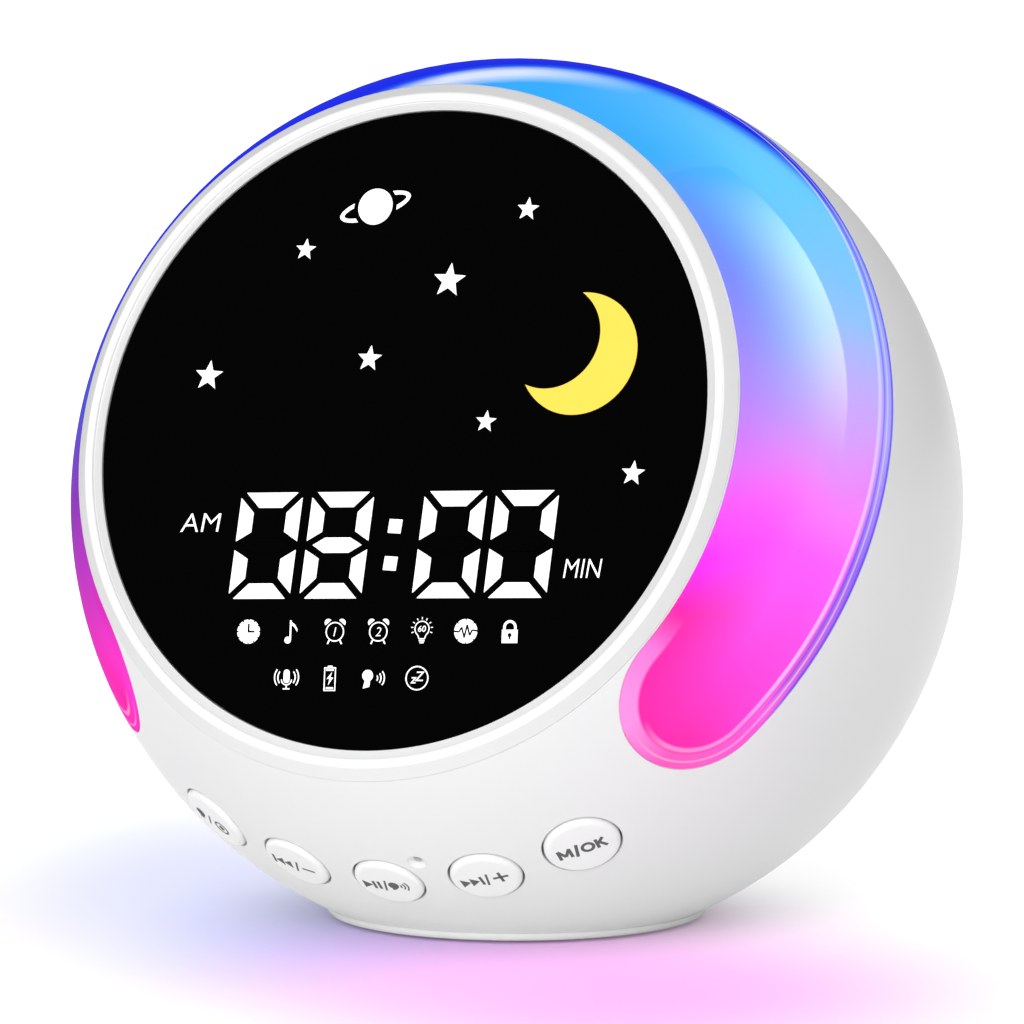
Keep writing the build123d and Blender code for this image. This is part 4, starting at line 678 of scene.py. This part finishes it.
# painted reflection: where and how strongly the silver gleam is painted over the top of the cover
painted_reflection_strength, painted_reflection_front, painted_reflection_rear = 0.85, (-0.3, -0.17), (-0.1, 0.0)
painted_reflection_start, painted_reflection_stop = (-17, -4), (6, 22)
sheen_level, sheen_start, sheen_rear, rim_sheen = 0.13, (15, 45), (-0.3, -0.05), 0.4

cover_clear, clock, across, edge, glow = night_light("clear_cover_glow", 0.03)


def both(first, second):
    return number_math(cover_clear, "MULTIPLY", first, second)


def rising(value, band):
    return spread(cover_clear, value, 0, 1, *band)


def falling(value, band):
    return spread(cover_clear, value, 1, 0, *band)


def fade_out(material, value, low, high, strength=1.0, curve="SMOOTHSTEP"):
    """Full strength up to the low value, nothing from the high value on."""
    faded = wire(material, "ShaderNodeMapRange", {0: value, 1: low, 2: high, 3: strength, 4: 0.0},
                 interpolation_type=curve)
    return faded.outputs[0]


wave = noise(cover_clear, own_place(cover_clear), waver_scale, 2.0)
wavy_edge = number_math(cover_clear, "ADD", edge, spread(cover_clear, wave, -waver, waver, *noise_span))
outer_half = rising(across, outer_fade)
past_end = rising(number_math(cover_clear, "ABSOLUTE", clock), tip_fade)
at_tip = both(past_end, spread(cover_clear, across, 0.9, 0.25, *tip_across))
along_side = both(outer_half, spread(cover_clear, past_end, 1, 0.3))
in_rim = both(fade_out(cover_clear, edge, *rim_fade), number_math(cover_clear, "MAXIMUM", at_tip, along_side))

# over the top the rear of the cover is deep blue, behind a silver gleam that is a painted reflection
behind = spread(cover_clear, clock, *behind_across, *behind_clock)
behind = number_math(cover_clear, "SUBTRACT", across, behind)
deep = both(rising(behind, deep_fade), both(rising(clock, deep_start), falling(clock, deep_stop)))
# the painted reflection: a pale streak painted across the top of the cover
painted_reflection_gleam = both(spread(cover_clear, behind, 0, painted_reflection_strength, *painted_reflection_front), falling(behind, painted_reflection_rear))
painted_reflection_gleam = both(painted_reflection_gleam, both(rising(clock, painted_reflection_start), falling(clock, painted_reflection_stop)))


def fine_lines(tip_strength, *lines):
    """Lines along the cover's outer edge, each at its distance, with its width and strength."""
    strongest = 0.0
    for measured, distance, width, strength in lines:
        off = number_math(cover_clear, "SUBTRACT", measured, distance)
        off = number_math(cover_clear, "ABSOLUTE", off)
        line = both(fade_out(cover_clear, off, width * 0.2, width, strength), outer_half)
        strongest = number_math(cover_clear, "MAXIMUM", line, strongest)
    return both(strongest, spread(cover_clear, past_end, 1, tip_strength))


# painted highlights: two pale lines painted along the cover's outer edge
painted_highlight_lines = fine_lines(0.55, (wavy_edge, 3.2, 0.55, 0.6), (wavy_edge, 1.35, 0.28, 0.5))
dark_lines = fine_lines(0.2, (edge, 0.2, 0.6, 0.8), (wavy_edge, 2.1, 0.3, 0.5))
glow = blend_colours(cover_clear, in_rim, glow, by_clock(cover_clear, clock, rim_colours))
# dark lines, the deep blue, the painted highlight lines and the painted reflection are laid over the glow in
# turn
for share, colour in ((dark_lines, ultramarine), (deep, ink_blue), (painted_highlight_lines, painted_highlight_frost), (painted_reflection_gleam, painted_reflection_silver)):
    glow = blend_colours(cover_clear, share, glow, from_screen(colour))
sheen = both(spread(cover_clear, clock, 0.0, sheen_level, *sheen_start), falling(behind, sheen_rear))
cover_edges = wire(cover_clear, "ShaderNodeBevel", {"Radius": 0.35 * mm}, samples=4)
feed(cover_clear, "Emission Color", glow)
feed(cover_clear, "Base Color", blend_colours(cover_clear, 0.5, glow, (0, 0, 0, 1)))
feed(cover_clear, "Emission Strength", clear_strength)
feed(cover_clear, "Transmission Weight", see_through)
feed(cover_clear, "Specular IOR Level", both(sheen, spread(cover_clear, in_rim, 1.0, rim_sheen)))
feed(cover_clear, "Normal", cover_edges.outputs[0])
finish_piece(welded_copy("light_cover", (59.7, ball_radius)), "light_cover_crescent", cover_clear,
             replaced=["light_cover"])

# the tray, its flexible strip and the chips on it
dress("light_tray", moulded_plastic("white_tray_plastic", (0.78, 0.78, 0.78, 1), 0.5))
dress("light_strip", moulded_plastic("white_flex_film", (0.75, 0.75, 0.72, 1), 0.45, cloud=0.05))
chip_yellow = moulded_plastic("lamp_chip_resin", (0.72, 0.62, 0.22, 1), 0.35, cloud=0.1, edge=0.1)
dress("light_chips", chip_yellow)
dress("display_chips", chip_yellow)

# ------------------------------------------------------------------ buttons
# Five round white caps in an arc below the display, each with a domed top, a soft edge and a
# grey printed sign. Each cap slides on its own plunger and switch.

cap_top, ink_rise = 62.6, 0.02
button_polar, button_step = math.radians(71.3), 14.15
button_names = ("lamp", "previous", "play", "next", "ok")
letter_stroke, ok_turn = 0.46, -8
button_plastic = moulded_plastic("white_button_plastic", (0.92, 0.92, 0.925, 1), 0.24, edge=0.1)
button_ink = moulded_plastic("grey_button_ink", (0.13, 0.13, 0.133, 1), 0.6, cloud=0.08, edge=0.01)
feed(button_ink, "Specular IOR Level", 0.1)


def triangle(x, y, width, height, points_to=1):
    return patch([(x - points_to * width / 2, y - height / 2), (x + points_to * width / 2, y),
                  (x - points_to * width / 2, y + height / 2)])


def lamp_print():
    """A lamp bulb, a stroke and a shining ring."""
    return [disc(-2.3, 0.2, 0.85), bar(-2.3, -0.4, -2.3, -1.2, 0.7), bar(-0.75, -1.2, -0.35, 1.2, 0.3),
            *hoop(1.75, 0, 1.15, 0.32), disc(1.75, 0, 0.5)]


def previous_print():
    """A bar, two arrows to the left, a stroke and a minus."""
    return [bar(-3.4, -0.95, -3.4, 0.95, 0.4), triangle(-2.45, 0, 1.3, 1.8, -1),
            triangle(-1.1, 0, 1.3, 1.8, -1), bar(0.15, -1.25, 0.65, 1.25, 0.32),
            bar(1.3, 0, 3.3, 0, 0.36)]


def play_print():
    """Play, pause, a stroke, a speaking balloon and its waves."""
    balloon = around(0.95, 0.15, 0.78, -60, 240, 14) + [(0.5, -0.95), (1.1, -0.85)]
    pieces = [triangle(-2.9, 0, 1.4, 1.8), bar(-1.95, -0.9, -1.95, 0.9, 0.42),
              bar(-1.2, -0.9, -1.2, 0.9, 0.42), bar(-0.55, -1.25, -0.05, 1.25, 0.3), patch(balloon)]
    for radius in (0.5, 1.0, 1.5):
        pieces.append(bow(1.6, 0, radius, -40, 40, 0.22))
    return pieces


def next_print():
    """Two arrows to the right, a bar, a stroke and a plus."""
    return [triangle(-2.85, 0, 1.3, 1.8), triangle(-1.5, 0, 1.3, 1.8), bar(-0.55, -0.95, -0.55, 0.95, 0.42),
            bar(0.0, -1.25, 0.5, 1.25, 0.32), bar(1.1, 0, 3.3, 0, 0.42), bar(2.2, -1.1, 2.2, 1.1, 0.42)]


def ok_print():
    """M, a stroke, O and K, in plain strokes, turned to stand level on the cap."""
    strokes = ((-3.4, -0.95, -3.4, 0.95), (-3.4, 0.95, -2.6, -0.5), (-2.6, -0.5, -1.8, 0.95),
               (-1.8, 0.95, -1.8, -0.95), (-1.15, -1.25, -0.65, 1.25), (2.05, -0.95, 2.05, 0.95),
               (2.05, -0.15, 3.1, 0.95), (2.4, 0.2, 3.25, -0.95))
    pieces = [bar(*ends, letter_stroke) for ends in strokes] + hoop(0.7, 0, 0.78, letter_stroke)
    for piece in pieces:
        piece.data.transform(Matrix.Rotation(math.radians(ok_turn), 4, "Z"))
    return pieces


prints = (lamp_print(), previous_print(), play_print(), next_print(), ok_print())
for i, name in enumerate(button_names):
    clock = math.radians((i - 2) * button_step)
    outwards = (display_axis * math.cos(button_polar) - display_up * math.sin(button_polar) * math.cos(clock)
                + Vector((1, 0, 0)) * math.sin(button_polar) * math.sin(clock))
    sideways = display_up * math.sin(clock) + Vector((1, 0, 0)) * math.cos(clock)
    upwards = outwards.cross(sideways)
    node = "button_" + name
    finish_piece(welded_copy(node, (cap_top,)), node + "_cap", button_plastic, node, [node])
    ink = joined(prints[i])
    for v in ink.data.vertices:
        dome = math.sqrt((cap_top + ink_rise) ** 2 - (v.co.x / mm) ** 2 - (v.co.y / mm) ** 2)
        depth = v.co.z + dome * mm
        v.co = ball_centre + sideways * v.co.x + upwards * v.co.y + outwards * depth
    finish_piece(ink, node + "_print", button_ink, node)

plunger_plastic = moulded_plastic("black_plunger_plastic", (0.02, 0.02, 0.021, 1), 0.4)
for name in button_names:
    dress("plunger_" + name, plunger_plastic)

# ------------------------------------------------------------------ switches and microphone
# Five square switches on small boards in a black bracket behind the caps, and the microphone
# in a soft sleeve behind its hole in the shell.

dress("switch_housings", moulded_plastic("black_switch_plastic", (0.025, 0.025, 0.027, 1), 0.42))
dress("button_bracket", moulded_plastic("black_bracket_plastic", (0.03, 0.03, 0.032, 1), 0.5))
boot_rubber = moulded_plastic("black_boot_rubber", (0.02, 0.02, 0.02, 1), 0.8, cloud=0.1, grain=0.8)
dress("microphone_boot", boot_rubber)
dress("microphone", bare_metal("microphone_can", (0.72, 0.72, 0.74, 1), 0.25))

# ------------------------------------------------------------------ boards
# Glass fibre boards under green lacquer with fine copper tracks. The main board stands on four
# pillars; the others carry the display's chips, the switches and the inlet.

track_green, gap_green, lacquer_green = (0.015, 0.12, 0.045, 1), (0.02, 0.14, 0.055, 1), (0.02, 0.13, 0.05, 1)
copper_green = (0.05, 0.24, 0.09, 1)
track_scale, track_width = 260.0, 0.035
board_green = moulded_plastic("green_board_lacquer", lacquer_green, 0.3, edge=0.05)
tracks = wire(board_green, "ShaderNodeTexBrick", {
    "Vector": own_place(board_green), "Scale": track_scale, "Mortar Size": track_width,
    "Color1": track_green, "Color2": gap_green, "Mortar": copper_green})
feed(board_green, "Base Color", tracks.outputs[0])
for node in ("main_board", "display_board", "switch_boards", "inlet_board"):
    dress(node, board_green)
dress("display_reflector", moulded_plastic("white_reflector_plastic", (0.8, 0.8, 0.8, 1), 0.45))
dress("board_header", moulded_plastic("black_header_plastic", (0.03, 0.03, 0.03, 1), 0.45))
dress("main_chips", moulded_plastic("black_chip_resin", (0.02, 0.02, 0.022, 1), 0.5, cloud=0.06, grain=0.8))
dress("main_capacitors", bare_metal("capacitor_can", (0.70, 0.71, 0.74, 1), 0.28))
dress("main_sockets", moulded_plastic("cream_socket_plastic", (0.75, 0.71, 0.60, 1), 0.4))

# ------------------------------------------------------------------ battery
# A round cell in a blue shrink sleeve lies across the ball in a black cradle that is screwed
# to the floor of the front shell.

dress("battery_cell", moulded_plastic("blue_cell_sleeve", (0.03, 0.12, 0.45, 1), 0.3, cloud=0.06, grain=0.15))
dress("battery_cradle", moulded_plastic("black_cradle_plastic", (0.03, 0.03, 0.032, 1), 0.5))

# ------------------------------------------------------------------ speaker
# A round speaker behind the grille: a pressed steel basket, a magnet, a paper cone with a dust
# cap, and a foam gasket against the rear cover.

dress("speaker_frame", bare_metal("speaker_basket_steel", (0.45, 0.46, 0.48, 1), 0.35))
dress("speaker_magnet", bare_metal("speaker_magnet_ferrite", (0.10, 0.10, 0.11, 1), 0.55))
cone_paper = moulded_plastic("black_cone_paper", (0.02, 0.02, 0.021, 1), 0.85, cloud=0.15, grain=1.0)
gasket_foam = moulded_plastic("black_gasket_foam", (0.015, 0.015, 0.015, 1), 0.95, cloud=0.2, grain=1.0)
dress("speaker_cone", cone_paper)
dress("speaker_gasket", gasket_foam)

# ------------------------------------------------------------------ power inlet
# The drawn steel shell of the charging socket at the end of its pocket in the rear cover. It
# sits on its own small board.

dress("inlet_socket", bare_metal("drawn_socket_steel", (0.66, 0.67, 0.70, 1), 0.25))

# ------------------------------------------------------------------ studio
# A pale floor that runs out of sight, an even white sky, a broad soft lamp above the front and
# a tall softbox behind on the right, which the light's cover mirrors. The camera stands low.
# The night light's blue and pink glow is painted on the floor, and the floor is painted brighter
# away from the ball.

scene = bpy.context.scene
scene.view_settings.view_transform = "Standard"
white = (1, 1, 1, 1)
painted_pools_turn = math.radians(-25.81)
# colours of the night light's glow, painted in pools on the floor
painted_glow_faint, painted_glow_blue, painted_glow_pink = (0.70, 0.72, 0.95, 1), (0.46, 0.48, 0.82, 1), (0.93, 0.42, 0.88, 1)
floor_grey = (0.93, 0.93, 0.93, 1)
# painted light: how much the floor glows for the camera away from the ball
painted_brightening_near, painted_brightening_far = 0.45, 0.2
sky_light = 0.58

bpy.ops.object.select_all(action="DESELECT")
bpy.ops.mesh.primitive_plane_add(size=14, location=(0, 0, 0))
floor = bpy.context.object
floor.name = "studio_floor"
floor_paint = new_material("studio_floor_paint")
place = wire(floor_paint, "ShaderNodeMapping", {"Vector": own_place(floor_paint),
                                                "Rotation": (0, 0, painted_pools_turn)}).outputs[0]


def painted_light_pool(right, front, wide, deep):
    """1 at a place on the floor, fading to 0 at the edge of an oval round it, in millimetres: a mask of
    painted light.
    """
    offset = vector_math(floor_paint, "SUBTRACT", place, (right * mm, -front * mm, 0))
    scaled = vector_math(floor_paint, "MULTIPLY", offset, (1 / (wide * mm), 1 / (deep * mm), 0))
    return fade_out(floor_paint, vector_math(floor_paint, "LENGTH", scaled), 0.0, 1.0, curve="SMOOTHERSTEP")


def rays_seen(material):
    """1 where the eye looks straight at it or through something clear, and the rays themselves."""
    rays = wire(material, "ShaderNodeLightPath").outputs
    return number_math(material, "MAXIMUM", rays["Is Camera Ray"], rays["Is Transmission Ray"]), rays


in_view, rays = rays_seen(floor_paint)
direct = number_math(floor_paint, "MAXIMUM", in_view, rays["Is Glossy Ray"])
# painted light: pools of the night light's blue and pink glow, painted where the floor is seen
tint = white
for spot, colour in ((painted_light_pool(-48, -20, 52, 150), painted_glow_faint), (painted_light_pool(-17, 30, 52, 78), painted_glow_blue),
                     (painted_light_pool(14, 66, 82, 104), painted_glow_pink)):
    share = number_math(floor_paint, "MULTIPLY", spot, in_view)
    tint = blend_colours(floor_paint, share, tint, colour)
paint = wire(floor_paint, "ShaderNodeMix", {0: 1.0, 6: tint, 7: floor_grey}, data_type="RGBA",
             blend_type="MULTIPLY").outputs[2]
# painted light: the floor glows for the camera from about 60 mm round the ball outwards, and more beyond 220
# mm, so it reads white and the ball's shadow fades there
far = number_math(floor_paint, "SUBTRACT", 1.0, painted_light_pool(0, 0, 60, 60))
further = number_math(floor_paint, "SUBTRACT", 1.0, painted_light_pool(0, 0, 220, 220))
painted_brightening = number_math(floor_paint, "ADD", number_math(floor_paint, "MULTIPLY", far, painted_brightening_near),
                   number_math(floor_paint, "MULTIPLY", further, painted_brightening_far))
feed(floor_paint, "Roughness", 0.6)
feed(floor_paint, "Base Color", paint)
feed(floor_paint, "Emission Strength", number_math(floor_paint, "MULTIPLY", direct, painted_brightening))
feed(floor_paint, "Emission Color", tint)
floor.data.materials.append(floor_paint)

sky = bpy.data.worlds.new("studio_sky")
scene.world = sky
sky.use_nodes = True
background = sky.node_tree.nodes["Background"]
background.inputs["Color"].default_value = white
sky_strength = spread(sky, rays_seen(sky)[0], sky_light, 1.0)
sky.node_tree.links.new(sky_strength, background.inputs["Strength"])

# a square soft lamp, above the front
key_from, key_distance = Vector((0.15, -1.0, 0.25)), 1.6
key_light = bpy.data.lights.new("key_lamp", "AREA")
key_light.shape = "SQUARE"
key_light.size = 1.2
key_light.energy = 16.6
key_lamp = bpy.data.objects.new("key_lamp", key_light)
scene.collection.objects.link(key_lamp)
key_lamp.location = ball_centre + key_from.normalized() * key_distance
key_lamp.rotation_euler = (-key_from).to_track_quat("-Z", "Y").to_euler()

# the softbox is bright along one long edge and fades towards the other
edge_start, edge_end = Vector((0.185, 0.728, 0.66)), Vector((0.901, 0.419, 0.111))
box_distance, box_half_length, box_half_width = 1.05, 0.62, 0.42
box_level, box_fade, box_ends = 10.5, (0.0, 0.5), (0.1, 0.6)
along = (edge_end - edge_start).normalized()
middle = (edge_start + edge_end).normalized()
inwards = along.cross(middle).normalized()
if inwards.x < 0:
    inwards = -inwards
bright_edge = ball_centre + middle * box_distance
bpy.ops.object.select_all(action="DESELECT")
bpy.ops.mesh.primitive_plane_add(size=2, location=(0, 0, 0))
softbox = bpy.context.object
softbox.name = "studio_softbox"
for v in softbox.data.vertices:
    v.co = bright_edge + along * v.co.x * box_half_length + inwards * (v.co.y + 1) * box_half_width
cloth = new_material("softbox_cloth")
cloth.node_tree.nodes.clear()
from_edge = vector_math(cloth, "SUBTRACT", own_place(cloth), bright_edge)
level = fade_out(cloth, vector_math(cloth, "DOT_PRODUCT", from_edge, inwards), *box_fade, box_level)
length = number_math(cloth, "ABSOLUTE", vector_math(cloth, "DOT_PRODUCT", from_edge, along))
level = number_math(cloth, "MULTIPLY", level, fade_out(cloth, length, *box_ends))
shine = wire(cloth, "ShaderNodeEmission", {"Strength": level})
wire(cloth, "ShaderNodeOutputMaterial", {"Surface": shine.outputs[0]})
softbox.data.materials.append(cloth)
softbox.visible_camera = False
softbox.visible_diffuse = False
softbox.visible_shadow = False

camera_data = bpy.data.cameras.new("product_camera")
camera = bpy.data.objects.new("product_camera", camera_data)
scene.collection.objects.link(camera)
camera_turn, camera_rise, camera_distance = math.radians(25.81), math.radians(6.53), 1240 * mm
towards_camera = Vector((math.sin(camera_turn) * math.cos(camera_rise),
                         -math.cos(camera_turn) * math.cos(camera_rise), math.sin(camera_rise)))
camera.location = ball_centre + towards_camera * camera_distance
camera.rotation_euler = (-towards_camera).to_track_quat("-Z", "Y").to_euler()
camera_data.sensor_width = 36
camera_data.lens = 313.55
camera_data.shift_x = -0.0050
camera_data.shift_y = -0.0073
camera_data.clip_start = 0.01
camera_data.clip_end = 50
scene.camera = camera
